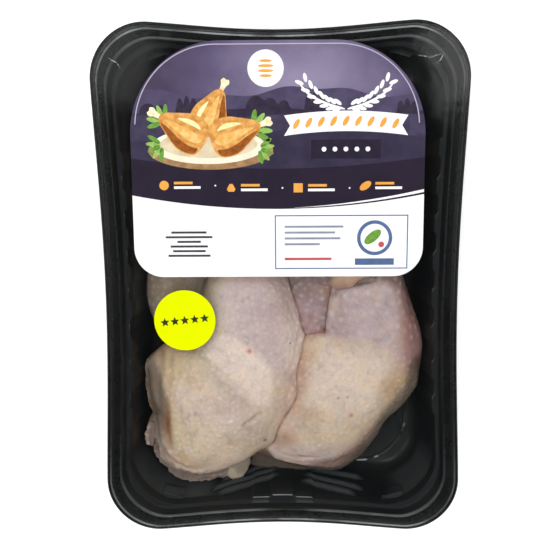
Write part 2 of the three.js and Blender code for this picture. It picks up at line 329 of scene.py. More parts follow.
def inside(points: np.ndarray, corners: np.ndarray) -> np.ndarray:
    """Tells which points of the plane lie in a closed polygon."""
    hit = np.zeros(len(points), bool)
    for (x0, y0), (x1, y1) in zip(corners, np.roll(corners, -1, axis=0)):
        crosses = (y0 > points[:, 1]) != (y1 > points[:, 1])
        at = (x1 - x0) * (points[:, 1] - y0) / (y1 - y0 if y1 != y0 else 1e-9) + x0
        hit ^= crosses & (points[:, 0] < at)
    return hit


def rounded(corners: list[Pair], rounds: int = 3) -> np.ndarray:
    """Rounds a closed polygon by cutting its corners again and again."""
    shape = np.array(corners, float)
    for _ in range(rounds):
        after = np.roll(shape, -1, axis=0)
        shape = np.stack([0.75 * shape + 0.25 * after, 0.25 * shape + 0.75 * after], axis=1).reshape(-1, 2)
    return shape


def oval(
    centre: Pair, radii: Pair, turn: float = 0.0, count: int = 48
) -> np.ndarray:
    """Returns the outline of an ellipse, turned by an angle in degrees."""
    angle = np.linspace(0, 2 * np.pi, count, endpoint=False)
    x, y = radii[0] * np.cos(angle), radii[1] * np.sin(angle)
    c, s = heading(turn)
    return np.column_stack([centre[0] + c * x - s * y, centre[1] + s * x + c * y])


# Materials


def linear(code: str) -> Colour:
    """Turns an sRGB hex colour, such as #c8b09a, into linear values with a full alpha."""
    shares = (int(code[i : i + 2], 16) / 255 for i in (1, 3, 5))
    red, green, blue = (s / 12.92 if s <= 0.04045 else ((s + 0.055) / 1.055) ** 2.4 for s in shares)
    return red, green, blue, 1.0


def add_node(
    tree: bpy.types.NodeTree,
    kind: str,
    settings: dict[str | int, object] | None = None,
    links: dict[str | int, bpy.types.Node | bpy.types.NodeSocket] | None = None,
) -> bpy.types.Node:
    """Adds a node with its settings and links.

    Args:
        tree: The node tree.
        kind: The node's type without its ShaderNode prefix.
        settings: Properties of the node, or values of its inputs by name or number.
        links: What feeds its inputs, by name or number. A node stands for its first output.

    Returns:
        The new node.
    """
    node = tree.nodes.new("ShaderNode" + kind)
    for name, value in (settings or {}).items():
        if isinstance(name, str) and hasattr(node, name):
            setattr(node, name, value)
        else:
            node.inputs[name].default_value = value
    for name, source in (links or {}).items():
        socket = source.outputs[0] if isinstance(source, bpy.types.Node) else source
        tree.links.new(socket, node.inputs[name])
    return node


def set_ramp(node: bpy.types.Node, stops: list[tuple[float, tuple[float, ...]]]) -> bpy.types.NodeSocket:
    """Gives a colour ramp its stops and returns its colour output."""
    ramp = node.color_ramp
    while len(ramp.elements) < len(stops):
        ramp.elements.new(0.5)
    for element, (place, colour) in zip(ramp.elements, stops):
        element.position = place
        element.color = colour
    return node.outputs["Color"]


def grey(value: float) -> Colour:
    """Returns a grey as a ramp colour."""
    return value, value, value, 1.0


class Finish:
    """A surface finish that makes one Blender material."""

    name: str

    def begin(self) -> tuple[bpy.types.Material, bpy.types.NodeTree, bpy.types.NodeSocket]:
        """Starts the material.

        Returns:
            The material, its empty tree and the object coordinates in metres.
        """
        material = bpy.data.materials.new(self.name)
        material.use_nodes = True
        material.node_tree.nodes.clear()
        return material, material.node_tree, add_node(material.node_tree, "TexCoord").outputs["Object"]

    def end(self, material: bpy.types.Material, shader: bpy.types.Node) -> bpy.types.Material:
        """Gives the material its surface and returns it."""
        add_node(material.node_tree, "OutputMaterial", links={"Surface": shader})
        return material


@dataclass(frozen=True)
class BlackTraySheet(Finish):
    """Thermoformed black polypropylene: a near black with soft reflections.

    The floor and the step under the flange are painted lighter greys than the walls, as painted sheen, and
    the pressed edges carry painted highlights: thin pale lines.
    """

    name: str = "black_thermoformed_polypropylene"
    # Painted sheen: the floor and the step are lighter greys than the wall and the flange
    floor: str = "#232626"
    wall: str = "#0f1518"
    step: str = "#15191b"
    flange: str = "#0a0b0b"
    # The pale colour of the painted edge highlights
    edge: str = "#a9adae"
    depth: float = 50.0
    peel: float = 2.2
    rub: float = 9.0

    def build(self) -> bpy.types.Material:
        """Returns the material. Its colours run up the depth; peel and rub marks are of real size, in mm."""
        material, tree, place = self.begin()
        height = add_node(tree, "SeparateXYZ", links={"Vector": place}).outputs["Z"]
        rub = add_node(
            tree, "TexNoise", {"Scale": 1 / (self.rub * MM), "Detail": 5, "Roughness": 0.6}, {"Vector": place}
        )
        peel = add_node(tree, "TexNoise", {"Scale": 1 / (self.peel * MM), "Detail": 2}, {"Vector": place})
        painted_highlight = add_node(tree, "Attribute", {"attribute_name": EDGE_HIGHLIGHT}).outputs["Fac"]
        level = add_node(tree, "MapRange", {"From Min": 0.0, "From Max": self.depth * MM}, {"Value": height})
        # Painted sheen: the floor and the step under the flange get lighter greys than the walls
        walls = ((15, self.wall), (39, self.wall), (42.5, self.step), (48.8, self.step))
        heights = ((3.5, self.floor), *walls, (49.6, self.flange))
        drawn = set_ramp(
            add_node(tree, "ValToRGB", links={"Fac": level}),
            [(z / self.depth, linear(colour)) for z, colour in heights],
        )
        rubbed = set_ramp(
            add_node(tree, "ValToRGB", links={"Fac": rub}), [(0.3, grey(0.72)), (0.7, grey(1.0))]
        )
        black = add_node(
            tree, "Mix", {"data_type": "RGBA", "blend_type": "MULTIPLY", "Factor": 1.0}, {6: drawn, 7: rubbed}
        )
        highlight_share = add_node(tree, "Math", {"operation": "MULTIPLY"}, {0: painted_highlight, 1: rubbed})
        # Painted highlight: the pale edge colour is mixed in where the edge highlight attribute is painted
        colour = add_node(
            tree, "Mix", {"data_type": "RGBA", 7: linear(self.edge)}, {0: highlight_share, 6: black.outputs[2]}
        )
        gloss = set_ramp(
            add_node(tree, "ValToRGB", links={"Fac": level}),
            [(0.08, grey(0.3)), (0.18, grey(0.5)), (0.84, grey(0.46)), (0.97, grey(0.4)), (0.99, grey(0.27))],
        )
        scuff = add_node(
            tree, "MapRange",
            {"From Min": 0.3, "From Max": 0.7, "To Min": -0.04, "To Max": 0.06},
            {"Value": rub},
        )
        rough = add_node(tree, "Math", {"operation": "ADD"}, {0: gloss, 1: scuff})
        bump = add_node(tree, "Bump", {"Strength": 0.12, "Distance": 0.2 * MM}, {"Height": peel})
        shader = add_node(
            tree, "BsdfPrincipled",
            {"IOR": 1.49, "Specular IOR Level": 0.3},
            {"Base Color": colour.outputs[2], "Roughness": rough, "Normal": bump},
        )
        return self.end(material, shader)


@dataclass(frozen=True)
class LiddingFilm(Finish):
    """Clear oriented polyester lidding film: it shows only as a sheen where a light is mirrored in it."""

    name: str = "clear_polyester_lidding_film"
    ripple: float = 14.0

    def build(self) -> bpy.types.Material:
        """Returns the material: clear straight on, glossier towards grazing angles, on either face alike."""
        material, tree, place = self.begin()
        ripple = add_node(tree, "TexNoise", {"Scale": 1 / (self.ripple * MM), "Detail": 3}, {"Vector": place})
        bump = add_node(tree, "Bump", {"Strength": 0.25, "Distance": 0.5 * MM}, {"Height": ripple})
        gloss = add_node(tree, "BsdfGlossy", {"Roughness": 0.09, "Color": grey(1.0)}, {"Normal": bump})
        clear = add_node(tree, "BsdfTransparent", {"Color": (0.985, 0.988, 0.988, 1)})
        facing = add_node(tree, "LayerWeight", {"Blend": 0.5}, {"Normal": bump})
        grazing = add_node(tree, "Math", {"operation": "POWER", 1: 5.0}, {0: facing.outputs["Facing"]})
        mirrored = add_node(
            tree, "MapRange",
            {"From Min": 0, "From Max": 1, "To Min": 0.035, "To Max": 0.8},
            {"Value": grazing},
        )
        mix = add_node(tree, "MixShader", links={0: mirrored, 1: clear, 2: gloss})
        return self.end(material, mix)


@dataclass(frozen=True)
class CreaseHighlightFilm(Finish):
    """A painted highlight along a hard crease in the film: a thin milky line."""

    name: str = "creased_film_highlight"
    colour: str = "#c9cdce"
    fleck: float = 1.1

    def build(self) -> bpy.types.Material:
        """Returns the material, half see-through."""
        material, tree, place = self.begin()
        flecks = add_node(tree, "TexNoise", {"Scale": 1 / (self.fleck * MM), "Detail": 2}, {"Vector": place})
        share = add_node(
            tree, "MapRange",
            {"From Min": 0.35, "From Max": 0.65, "To Min": 0.15, "To Max": 0.75},
            {"Value": flecks},
        )
        milk = add_node(tree, "BsdfPrincipled", {"Base Color": linear(self.colour), "Roughness": 0.3})
        clear = add_node(tree, "BsdfTransparent")
        mix = add_node(tree, "MixShader", links={0: share, 1: clear, 2: milk})
        return self.end(material, mix)


@dataclass(frozen=True)
class Ink(Finish):
    """Flexographic ink on coated label paper: an even colour with a fine fibre texture."""

    name: str
    colour: str
    second: str | None = None
    patch: float = 6.0
    fibre: float = 0.5
    rough: float = 0.2
    gloss: float = 0.35

    def build(self) -> bpy.types.Material:
        """Returns the material. The second colour comes in soft patches; sizes are in mm."""
        material, tree, place = self.begin()
        cloud = add_node(tree, "TexNoise", {"Scale": 1 / (self.patch * MM), "Detail": 3}, {"Vector": place})
        fibre = add_node(tree, "TexNoise", {"Scale": 1 / (self.fibre * MM), "Detail": 2}, {"Vector": place})
        colour = set_ramp(
            add_node(tree, "ValToRGB", links={"Fac": cloud}),
            [(0.38, linear(self.colour)), (0.64, linear(self.second or self.colour))],
        )
        bump = add_node(tree, "Bump", {"Strength": 0.06, "Distance": 0.05 * MM}, {"Height": fibre})
        shader = add_node(
            tree, "BsdfPrincipled",
            {"Roughness": self.rough, "IOR": 1.48, "Specular IOR Level": self.gloss},
            {"Base Color": colour, "Normal": bump},
        )
        return self.end(material, shader)


@dataclass(frozen=True)
class DuskInk(Finish):
    """The label's violet ground: a lavender glow low in an evening sky that darkens outwards."""

    name: str = "label_dusk_violet"
    glow: str = "#8e85a1"
    middle: str = "#5a506f"
    edge: str = "#463d55"
    centre: Pair = (12.0, 106.0)
    reach: Pair = (74.0, 44.0)
    level: float = 51.0
    cloud: float = 16.0

    def build(self) -> bpy.types.Material:
        """Returns the material. The glow's centre, level and reach are in mm."""
        material, tree, place = self.begin()
        mapping = add_node(
            tree,
            "Mapping",
            {
                "vector_type": "TEXTURE",
                "Location": (self.centre[0] * MM, self.centre[1] * MM, self.level * MM),
                "Scale": (self.reach[0] * MM, self.reach[1] * MM, 1),
            },
            {"Vector": place},
        )
        ball = add_node(tree, "TexGradient", {"gradient_type": "SPHERICAL"}, {"Vector": mapping})
        cloud = add_node(
            tree, "TexNoise",
            {"Scale": 1 / (self.cloud * MM), "Detail": 4, "Roughness": 0.55},
            {"Vector": place},
        )
        soft = add_node(
            tree, "MapRange",
            {"From Min": 0.3, "From Max": 0.7, "To Min": -0.09, "To Max": 0.09},
            {"Value": cloud},
        )
        total = add_node(tree, "Math", {"operation": "ADD"}, {0: ball.outputs["Fac"], 1: soft})
        colour = set_ramp(
            add_node(tree, "ValToRGB", links={"Fac": total}),
            [(0.0, linear(self.edge)), (0.35, linear(self.middle)), (0.95, linear(self.glow))],
        )
        shader = add_node(
            tree, "BsdfPrincipled",
            {"Roughness": 0.2, "IOR": 1.48, "Specular IOR Level": 0.35},
            {"Base Color": colour},
        )
        return self.end(material, shader)


@dataclass(frozen=True)
class RawChickenSkin(Finish):
    """Raw chicken skin: thin moist skin over pale fat and violet-pink muscle, with feather pores."""

    name: str = "raw_chicken_skin"
    blotch: float = 9.0
    pore: float = 1.5
    crinkle: float = 2.4
    mottle: float = 4.6
    grain: float = 1.3

    def build(self) -> bpy.types.Material:
        """Returns the material. The painted tone comes from the piece's own attribute."""
        material, tree, place = self.begin()
        tone = add_node(tree, "Attribute", {"attribute_name": SKIN_TONE}).outputs["Color"]
        noises = (
            (self.blotch, {"Detail": 4, "Roughness": 0.6}),
            (self.crinkle, {"Detail": 3, "Roughness": 0.6}),
            (self.mottle, {"Detail": 2, "Roughness": 0.45, "Distortion": 0.6}),
            (self.grain, {"Detail": 1}),
        )
        blotch, crinkle, mottle, grain = (
            add_node(tree, "TexNoise", {"Scale": 1 / (size * MM), **more}, {"Vector": place})
            for size, more in noises
        )
        pore = add_node(tree, "TexVoronoi", {"Scale": 1 / (self.pore * MM)}, {"Vector": place})
        warm = set_ramp(
            add_node(tree, "ValToRGB", links={"Fac": blotch}),
            [(0.3, linear("#f0e7e6")), (0.5, linear("#f9f6f2")), (0.7, linear("#fff6e6"))],
        )
        fine = set_ramp(
            add_node(tree, "ValToRGB", links={"Fac": mottle}),
            [(0.26, grey(0.74)), (0.48, grey(0.95)), (0.7, grey(1.0))],
        )
        speck = set_ramp(
            add_node(tree, "ValToRGB", links={"Fac": grain}),
            [(0.3, grey(0.8)), (0.46, grey(0.97)), (0.66, grey(1.0))],
        )
        colour = tone
        for factor, layer in ((0.9, warm), (0.6, fine), (0.6, speck)):
            settings = {"data_type": "RGBA", "blend_type": "MULTIPLY", "Factor": factor}
            colour = add_node(tree, "Mix", settings, {6: colour, 7: layer}).outputs[2]
        rough = add_node(
            tree, "MapRange",
            {"From Min": 0.3, "From Max": 0.7, "To Min": 0.3, "To Max": 0.46},
            {"Value": crinkle},
        )
        folds = add_node(tree, "Bump", {"Strength": 0.55, "Distance": 0.45 * MM}, {"Height": crinkle})
        bump = add_node(
            tree, "Bump", {"Strength": 0.3, "Distance": 0.2 * MM}, {"Height": pore, "Normal": folds}
        )
        shader = add_node(
            tree,
            "BsdfPrincipled",
            {
                "IOR": 1.4,
                "Subsurface Weight": 0.35,
                "Subsurface Radius": (1.0, 0.45, 0.28),
                "Subsurface Scale": 2.2 * MM,
                "Coat Weight": 0.35,
                "Coat Roughness": 0.2,
            },
            {"Base Color": colour, "Roughness": rough, "Normal": bump},
        )
        return self.end(material, shader)


# The tray


@dataclass(frozen=True)
class Bend:
    """One bend of the tray's section: how far in from the rim's outline, how high, and its corner radius."""

    inset: float
    z: float
    corner: float
    relief: float = 0.0
    fillet: float = 0.5


@dataclass
class Tray:
    """The black tray: a thin pressed sheet with a pinched outline, a stepped flange and fluted walls."""

    width: float = 190.0
    length: float = 268.0
    sheet: float = 1.0
    side_pinch: float = 3.4
    end_pinch: float = 4.2
    rim_corner: float = 28.0
    side_steps: int = 178
    end_steps: int = 112
    corner_steps: int = 44
    row_step: float = 1.25
    flute_pitch: float = 19.5
    flute_depth: float = 1.3
    flute_edge: float = 0.9
    flute_count: int = 8
    flute_shift: float = 3.3
    pad_half_widths: Pair = (17.0, 6.5)
    pad_step: float = 1.2
    pad_edge: float = 0.8
    rib_height: float = 2.4
    rib_half_width: float = 2.3
    rib_blunt: float = 2.2
    rib_pitch: float = 0.9
    rib_sink: float = 0.25
    rib_highlight: float = 0.1
    lug_reach: float = 1.8
    lug_foot: Pair = (25.0, 31.0)
    lug_top: Pair = (38.4, 39.0)
    lug_inner_end: Pair = (54.5, 55.4)
    lug_outer_end: Pair = (66.0, 67.0)
    lug_step_place: Pair = (59.6, 60.2)
    lug_step: float = 0.6
    wall_foot: Bend = Bend(17.0, 6.0, 23.0, 0.5, 1.5)
    wall_shoulder: Bend = Bend(12.3, 39.0, 29.0, 1.0, 0.6)
    ring_columns: int = 144
    ring_profile: tuple[Pair, ...] = (
        (-1.5, -0.3), (-1.1, 0.1), (-0.6, 0.85), (-0.2, 1.05),
        (0.2, 1.05), (0.6, 0.85), (1.1, 0.1), (1.5, -0.3),
    )
    ring_radius: float = 27.3
    ring_places: Pair = (44.4, 85.5)
    ring_gleams: tuple[Triple, ...] = (
        (-84.6, 6.2, 1.0),
        (-66, 3.4, 0.95),
        (-52, 10, 0.1),
        (-34, 7, 0.06),
        (-18, 1.6, 0.2),
        (-11.4, 1.8, 0.45),
        (0, 6, 0.06),
    )
    ribs: tuple[tuple[Pair, Pair], ...] = (
        ((-1.4, 15.6), (-41.0, 33.4)),
        ((-1.2, 22.4), (-37.5, 38.2)),
        ((-5.0, 9.6), (-36.0, 24.0)),
        ((14.0, 13.4), (47.0, 20.2)),
        ((11.4, 20.6), (46.0, 31.8)),
        ((10.0, 27.4), (41.5, 37.8)),
    )

    def pinch(self, depth: float, place: np.ndarray, half_span: float) -> np.ndarray:
        """Returns how far a side is pulled in along it, most in its middle."""
        along = np.clip(place / half_span, -1, 1)
        return depth * ((1 + np.cos(np.pi * along)) / 2) ** 0.6

    def flute(self, y: np.ndarray) -> np.ndarray:
        """Returns how far the long wall stands in at places along it, over half of each pitch."""
        reach = self.flute_count * self.flute_pitch / 2
        phase = np.mod(y - self.flute_shift, self.flute_pitch) - self.flute_pitch / 2
        on = within(self.flute_pitch / 4, self.flute_edge, phase)
        return self.flute_depth * on * (np.abs(y - self.flute_shift) < reach)

    def end_relief(self, x: np.ndarray, relief: float | np.ndarray) -> np.ndarray:
        """Returns how far an end wall's stepped pad stands in."""
        return sum(self.pad_step * within(half, self.pad_edge, x) for half in self.pad_half_widths) * relief

    def end_wall(self, x: np.ndarray, z: np.ndarray) -> np.ndarray:
        """Returns how far an end wall's inner face is from the middle, at places on it."""
        heights = (self.wall_foot.z, self.wall_shoulder.z)
        inset = np.interp(z, heights, (self.wall_foot.inset, self.wall_shoulder.inset))
        relief = np.interp(z, heights, (self.wall_foot.relief, self.wall_shoulder.relief))
        pinch = self.pinch(self.end_pinch, x, self.width / 2 - self.rim_corner)
        return self.length / 2 - inset - pinch - self.end_relief(x, relief)

    def wall_rib(self, start: Pair, end: Pair, side: int) -> Piece:
        """Returns one of the ridges that fan out on an end wall, with its foot sunk in the wall and a painted
        highlight along its crest.

        Args:
            start: Its inner end: the place across the wall and the height.
            end: Its outer end, likewise.
            side: -1 for the front wall and 1 for the back wall.
        """
        (x0, z0), (x1, z1) = start, end
        rows = 10
        length = math.hypot(x1 - x0, z1 - z0)
        columns = int(length / self.rib_pitch)
        across_x, across_z = -(z1 - z0) / length, (x1 - x0) / length

        def place(column: np.ndarray, row: np.ndarray) -> np.ndarray:
            share, turn = column / columns, (row / rows - 0.5) * np.pi
            taper = tapered(share, self.rib_blunt)
            off = self.rib_half_width * np.sin(turn) * (0.3 + 0.7 * taper)
            x = x0 + share * (x1 - x0) + off * across_x
            z = z0 + share * (z1 - z0) + off * across_z
            rise = self.rib_height * np.cos(turn) ** 0.7 * taper
            return np.column_stack([x, side * (self.end_wall(x, z) + self.rib_sink - rise), z])

        rib = wrapped_grid("wall_rib", columns, rows, place)
        face_towards(rib, (0, -side, 0))
        x, y, z = read_points(rib).T
        # Painted highlight along the crest of the rib
        proud = side * (self.end_wall(x, z) + self.rib_sink) - y
        crest = ease(0.3, 0.95, side * proud / self.rib_height)
        paint_attribute(rib, EDGE_HIGHLIGHT, self.rib_highlight * crest)
        return rib

    def lug(self, x: np.ndarray, z: float) -> np.ndarray:
        """Returns how far the stacking lugs beside the front and back corners stand in."""
        away = np.abs(x)
        level = ease(*self.lug_foot, z) * (1 - ease(*self.lug_top, z))
        across = ease(*self.lug_inner_end, away) * (1 - ease(*self.lug_outer_end, away))
        step = ease(*self.lug_step_place, away) * self.lug_step
        return (self.lug_reach + step) * level * across

    def ring(self, bend: Bend) -> np.ndarray:
        """Returns one closed ring of the tray in mm, anticlockwise from above, its last point its first."""
        half_x, half_y = self.width / 2 - bend.inset, self.length / 2 - bend.inset
        rim_x, rim_y = self.width / 2 - self.rim_corner, self.length / 2 - self.rim_corner
        straight_x, straight_y = half_x - bend.corner, half_y - bend.corner
        sides = np.linspace(-1, 1, self.side_steps + 1)[1:-1] * straight_y
        ends = np.linspace(1, -1, self.end_steps + 1)[1:-1] * straight_x
        arc = np.linspace(0, np.pi / 2, self.corner_steps + 1)
        wall = bend.relief * self.flute(sides)
        reach = half_x - self.pinch(self.side_pinch, sides, rim_y) - wall
        depth = half_y - self.pinch(self.end_pinch, ends, rim_x) - self.end_relief(ends, bend.relief)
        parts = []
        for quarter, (sign_x, sign_y) in enumerate(((1, 1), (-1, 1), (-1, -1), (1, -1))):
            if quarter % 2 == 0:
                line, out = sign_x * sides, sign_x * reach
                parts.append(np.column_stack([out, line]))
            angle = arc + quarter * np.pi / 2
            x = sign_x * straight_x + bend.corner * np.cos(angle)
            y = sign_y * straight_y + bend.corner * np.sin(angle)
            lug = self.lug(x, bend.z) * bend.relief * np.abs(np.sin(angle)) * (np.abs(y) > 90)
            pull_x = self.pinch(self.side_pinch, np.abs(y), rim_y) * np.abs(np.cos(angle))
            pull_y = self.pinch(self.end_pinch, np.abs(x), rim_x) * np.abs(np.sin(angle)) + lug
            parts.append(np.column_stack([x - sign_x * pull_x, y - sign_y * pull_y]))
            if quarter % 2 == 0:
                parts.append(np.column_stack([sign_y * ends, sign_y * depth]))
        outline = np.vstack(parts)
        outline = np.vstack([outline, outline[:1]])
        return raised(outline, bend.z)

    def section(self) -> list[Bend]:
        """Returns the bends from the inner floor up over the flange and down to the underside."""
        inner = [
            Bend(20.5, 1.0, 20.0, fillet=1.5),
            Bend(18.2, 2.6, 21.0, fillet=1.3),
            self.wall_foot,
            self.wall_shoulder,
            Bend(11.3, 43.2, 29.0, 1.0, 0.1),
            Bend(11.2, 43.6, 29.0, 1.0, 0.2),
            Bend(10.8, 43.7, 29.0, 0.8, 0.1),
            Bend(9.4, 44.1, 29.0, 0.0, 0.2),
            Bend(9.0, 44.7, 28.0, 0.0, 0.35),
            Bend(8.2, 49.2, 26.0, 0.0, 0.6),
            Bend(7.4, 50.0, 26.0, 0.0, 0.5),
            Bend(3.4, 50.0, 26.6, 0.0, 0.4),
            Bend(3.0, 49.6, 26.8, 0.0, 0.25),
            Bend(2.3, 49.6, 27.0, 0.0, 0.25),
            Bend(1.9, 50.0, 27.2, 0.0, 0.25),
            Bend(0.8, 50.0, 27.2, 0.0, 0.4),
            Bend(0.0, 49.2, 28.0, 0.0, 0.4),
            Bend(0.0, 47.0, 28.0, 0.0, 0.2),
        ]
        outer = [
            Bend(1.0, 47.0, 27.0, 0.0, 0.2),
            Bend(1.0, 49.0, 27.0, 0.0, 0.4),
            Bend(6.5, 49.0, 26.0, 0.0, 0.6),
            Bend(8.0, 43.2, 28.5, 0.0, 0.6),
            Bend(10.2, 42.8, 29.0, 1.0, 0.4),
            Bend(11.3, 39.0, 29.0, 1.0, 0.6),
            Bend(16.0, 6.0, 23.0, 0.5, 1.5),
            Bend(17.3, 2.0, 21.0, fillet=1.3),
            Bend(20.0, 0.0, 20.0, fillet=0.5),
        ]
        return self.filleted(inner + outer)

    def filleted(self, bends: list[Bend]) -> list[Bend]:
        """Returns the section with each bend rounded and each long flat cut into rows."""

        def between(first: Bend, second: Bend, share: float) -> Bend:
            values = [
                (1 - share) * getattr(first, name) + share * getattr(second, name)
                for name in ("inset", "z", "corner", "relief")
            ]
            return Bend(*values)

        def gap(first: Bend, second: Bend) -> float:
            return math.hypot(first.inset - second.inset, first.z - second.z)

        rounds = [[bends[0]]]
        for before, here, after in zip(bends, bends[1:], bends[2:]):
            near = between(here, before, min(0.45, here.fillet / gap(here, before)))
            far = between(here, after, min(0.45, here.fillet / gap(here, after)))
            arc = [between(between(near, here, t), between(here, far, t), t) for t in (0, 0.33, 0.67, 1)]
            rounds.append(arc)
        rounds.append([bends[-1]])
        rows: list[Bend] = []
        for arc, following in zip(rounds, rounds[1:]):
            rows.extend(arc)
            cuts = int(gap(arc[-1], following[0]) / self.row_step)
            rows.extend(between(arc[-1], following[0], (i + 1) / (cuts + 1)) for i in range(cuts))
        return rows + rounds[-1]

    def painted_highlight(self, bend: Bend, ring: np.ndarray) -> np.ndarray:
        """Returns the painted highlight of a ring of the sheet, from 0 to 1: pale lines and dashes on its
        pressed edges, and painted sheen on the front corners.
        """
        x, y = ring[:, 0], ring[:, 1]
        end = ease(0.55, 0.98, np.abs(y) / (self.length / 2 - bend.inset))
        end = end * (1 - 0.5 * ease(66, 84, np.abs(x)))
        glints = ease(0.1, 0.5, 0.5 + 0.5 * np.sin(x / 7.0 + 1.2 * np.sin(x / 17.0)))
        # Painted highlight lines on the outer and inner side of the flange's groove, and on the flange's
        # inner edge
        if 1.7 < bend.inset < 2.5 and bend.z > 49:
            return 0.05 + end * (0.25 + 0.45 * glints) * (1 - 0.8 * (y > 0))
        if 2.9 < bend.inset < 3.7 and bend.z > 49:
            return 0.02 + end * (0.35 + 0.5 * glints) * (y > 0)
        if 7.2 < bend.inset < 8.3 and bend.z > 49:
            return 0.01 + 0.24 * end * ease(5, 20, np.abs(x - 3))
        # Painted glints on the ledge's inner edge over the pads and the flutes, and on its foot over the pads
        pads = (np.abs(y) > 100) * (np.abs(x) < 16.6) * (np.abs(np.abs(x) - 6.5) > 0.7)
        if 11.0 < bend.inset < 11.3 and 43.3 < bend.z < 43.8:
            phase = np.abs(np.mod(y - self.flute_shift, self.flute_pitch) - 0.75 * self.flute_pitch)
            flutes = (phase < 1.2) * (np.abs(y) < 76) * (np.abs(x) > 60)
            return 0.5 * pads + 0.2 * flutes
        if 9.2 < bend.inset < 9.6 and 43.9 < bend.z < 44.3:
            return 0.1 * pads * (np.abs(x) > 7)
        # A painted highlight on the shoulder round the corners, and painted sheen on the front corners and
        # the left side of the walls
        if 38.3 < bend.z < 38.7 and bend.inset > 12:
            return 0.06 * ease(88, 100, np.abs(y)) * ease(55, 60, np.abs(x))
        if 9 < bend.z < 38:
            corner = ease(88, 106, -y) * (0.12 * ease(34, 46, -x) + 0.1 * ease(56, 70, x))
            return ease(9, 16, bend.z) * (corner + 0.08 * ease(60, 80, -x) * ease(-40, 0, y))
        return np.zeros(len(ring))

    def paint_highlights(self, tray: Piece, bends: list[Bend], rings: np.ndarray) -> None:
        """Paints each ring's painted highlight on the vertices that it made.

        Args:
            tray: The sheet's mesh.
            bends: The bends of its section, inner side first.
            rings: The ring of points that each bend made, in mm.
        """
        tree = search_tree(rings.reshape(-1, 3))
        inner = next(i for i, bend in enumerate(bends) if bend.inset <= 0 and bend.z < 48)
        values = np.zeros(rings.shape[:2])
        for i in range(inner):
            values[i] = self.painted_highlight(bends[i], rings[i])
        nearest = [tree.find(point)[1] for point in read_points(tray)]
        paint_attribute(tray, EDGE_HIGHLIGHT, values.ravel()[nearest])

    def floor_ring(self, x: float, y: float) -> Piece:
        """Returns a round ridge pressed up from the floor at a place, with painted highlight dashes on its
        outer side.
        """
        profile = np.array(self.ring_profile)

        def place(column: np.ndarray, row: np.ndarray) -> np.ndarray:
            angle = column / self.ring_columns * 2 * np.pi
            point = profile[row.astype(int)]
            radius = self.ring_radius + point[:, 0]
            height = self.sheet + point[:, 1]
            return np.column_stack([x + radius * np.cos(angle), y + radius * np.sin(angle), height])

        ridge = wrapped_grid("floor_ring", self.ring_columns, len(profile) - 1, place)
        face_towards(ridge)
        plan = read_points(ridge) - (x, y, 0)
        turn = np.degrees(np.arctan2(plan[:, 1], plan[:, 0] * np.sign(x)))
        # Painted highlight: short gleaming dashes on the ridge's outer side
        outer = ease(-0.7, -0.1, np.hypot(plan[:, 0], plan[:, 1]) - self.ring_radius)
        dashes = sum(share * (np.abs(turn - at) < half) for at, half, share in self.ring_gleams)
        paint_attribute(ridge, EDGE_HIGHLIGHT, outer * dashes)
        return ridge

    def build(self) -> Piece:
        """Returns the whole tray as one closed sheet."""
        bends = self.section()
        rings = np.stack([self.ring(bend) for bend in bends])

        def place(column: np.ndarray, row: np.ndarray) -> np.ndarray:
            return rings[row.astype(int), column.astype(int)]

        tray = wrapped_grid("black_tray", rings.shape[1] - 1, rings.shape[0] - 1, place)
        edit(tray, lambda: bpy.ops.mesh.fill_holes(sides=0), bpy.ops.mesh.normals_make_consistent)
        self.paint_highlights(tray, bends, rings)
        x, y = self.ring_places
        ridges = [self.floor_ring(sx * x, sy * y) for sx in (-1, 1) for sy in (-1, 1)]
        ribs = [self.wall_rib(*rib, side) for rib in self.ribs for side in (-1, 1)]
        tray = join([tray, *ridges, *ribs], "black_tray")
        smooth(tray, 40)
        return tray


# The legs


class Tone(Enum):
    """Colours of raw chicken skin over fat, muscle and blood; the darker ones are also used as painted shade
    in creases, hollows and on steep sides.
    """

    CREAM = "#e5d3c4"
    GREY_CREAM = "#d7c7b5"
    PEACH = "#efe0d7"
    LILAC = "#cfbec0"
    MAUVE = "#b0989e"
    ROSE = "#c8a196"
    OCHRE = "#c6a579"
    BROWN = "#a47655"
    BLOOD = "#c4605c"
    ASH = "#9b9185"
    DUSK = "#7b6f64"
    WHITE = "#fafafa"
    PORE = "#806651"
    CLARET = "#a87e7a"
    UMBER = "#665548"
    RUST = "#8a4a34"
    HOLLOW_SHADE = "#55564f"
    WEDGE = "#6b5650"
    BUTTER = "#ddcba8"
    SHADE = "#84665e"
    PLUM = "#877470"

    def linear(self) -> np.ndarray:
        """Returns the tone's linear red, green and blue."""
        return np.array(linear(self.value)[:3])


@dataclass(frozen=True)
class Patch:
    """A soft-edged area of one tone, in mm seen from above. One corner alone is the middle of an oval."""

    tone: Tone
    corners: tuple[Pair, ...]
    soft: float = 4.0
    strength: float = 1.0
    radii: Pair = (0.0, 0.0)
    turn: float = 0.0

    def mask(self, plan: np.ndarray) -> np.ndarray:
        """Returns the share of the tone at each place of the plan view."""
        if len(self.corners) == 1:
            c, s = heading(self.turn)
            away = plan - np.array(self.corners[0])
            u = (away[:, 0] * c + away[:, 1] * s) / self.radii[0]
            v = (away[:, 1] * c - away[:, 0] * s) / self.radii[1]
            return self.strength * np.exp(-((u * u + v * v) ** 1.5))
        outline = np.array(self.corners)
        away, _, _ = path_distance(plan, np.vstack([outline, outline[:1]]))
        signed = np.where(inside(plan, outline), away, -away)
        return self.strength * ease(-self.soft, self.soft, signed)


def spot(tone: Tone, x: float, y: float, wide: float, deep: float, strength: float, turn: float = 0) -> Patch:
    """Returns a soft oval patch: its place and half sizes in mm, its share and its turn in degrees."""
    return Patch(tone, ((x, y),), radii=(wide, deep), turn=turn, strength=strength)


class FoldKind(Enum):
    """How the skin runs across a fold."""

    GROOVE = "groove"
    RIDGE = "ridge"
    STEP = "step"


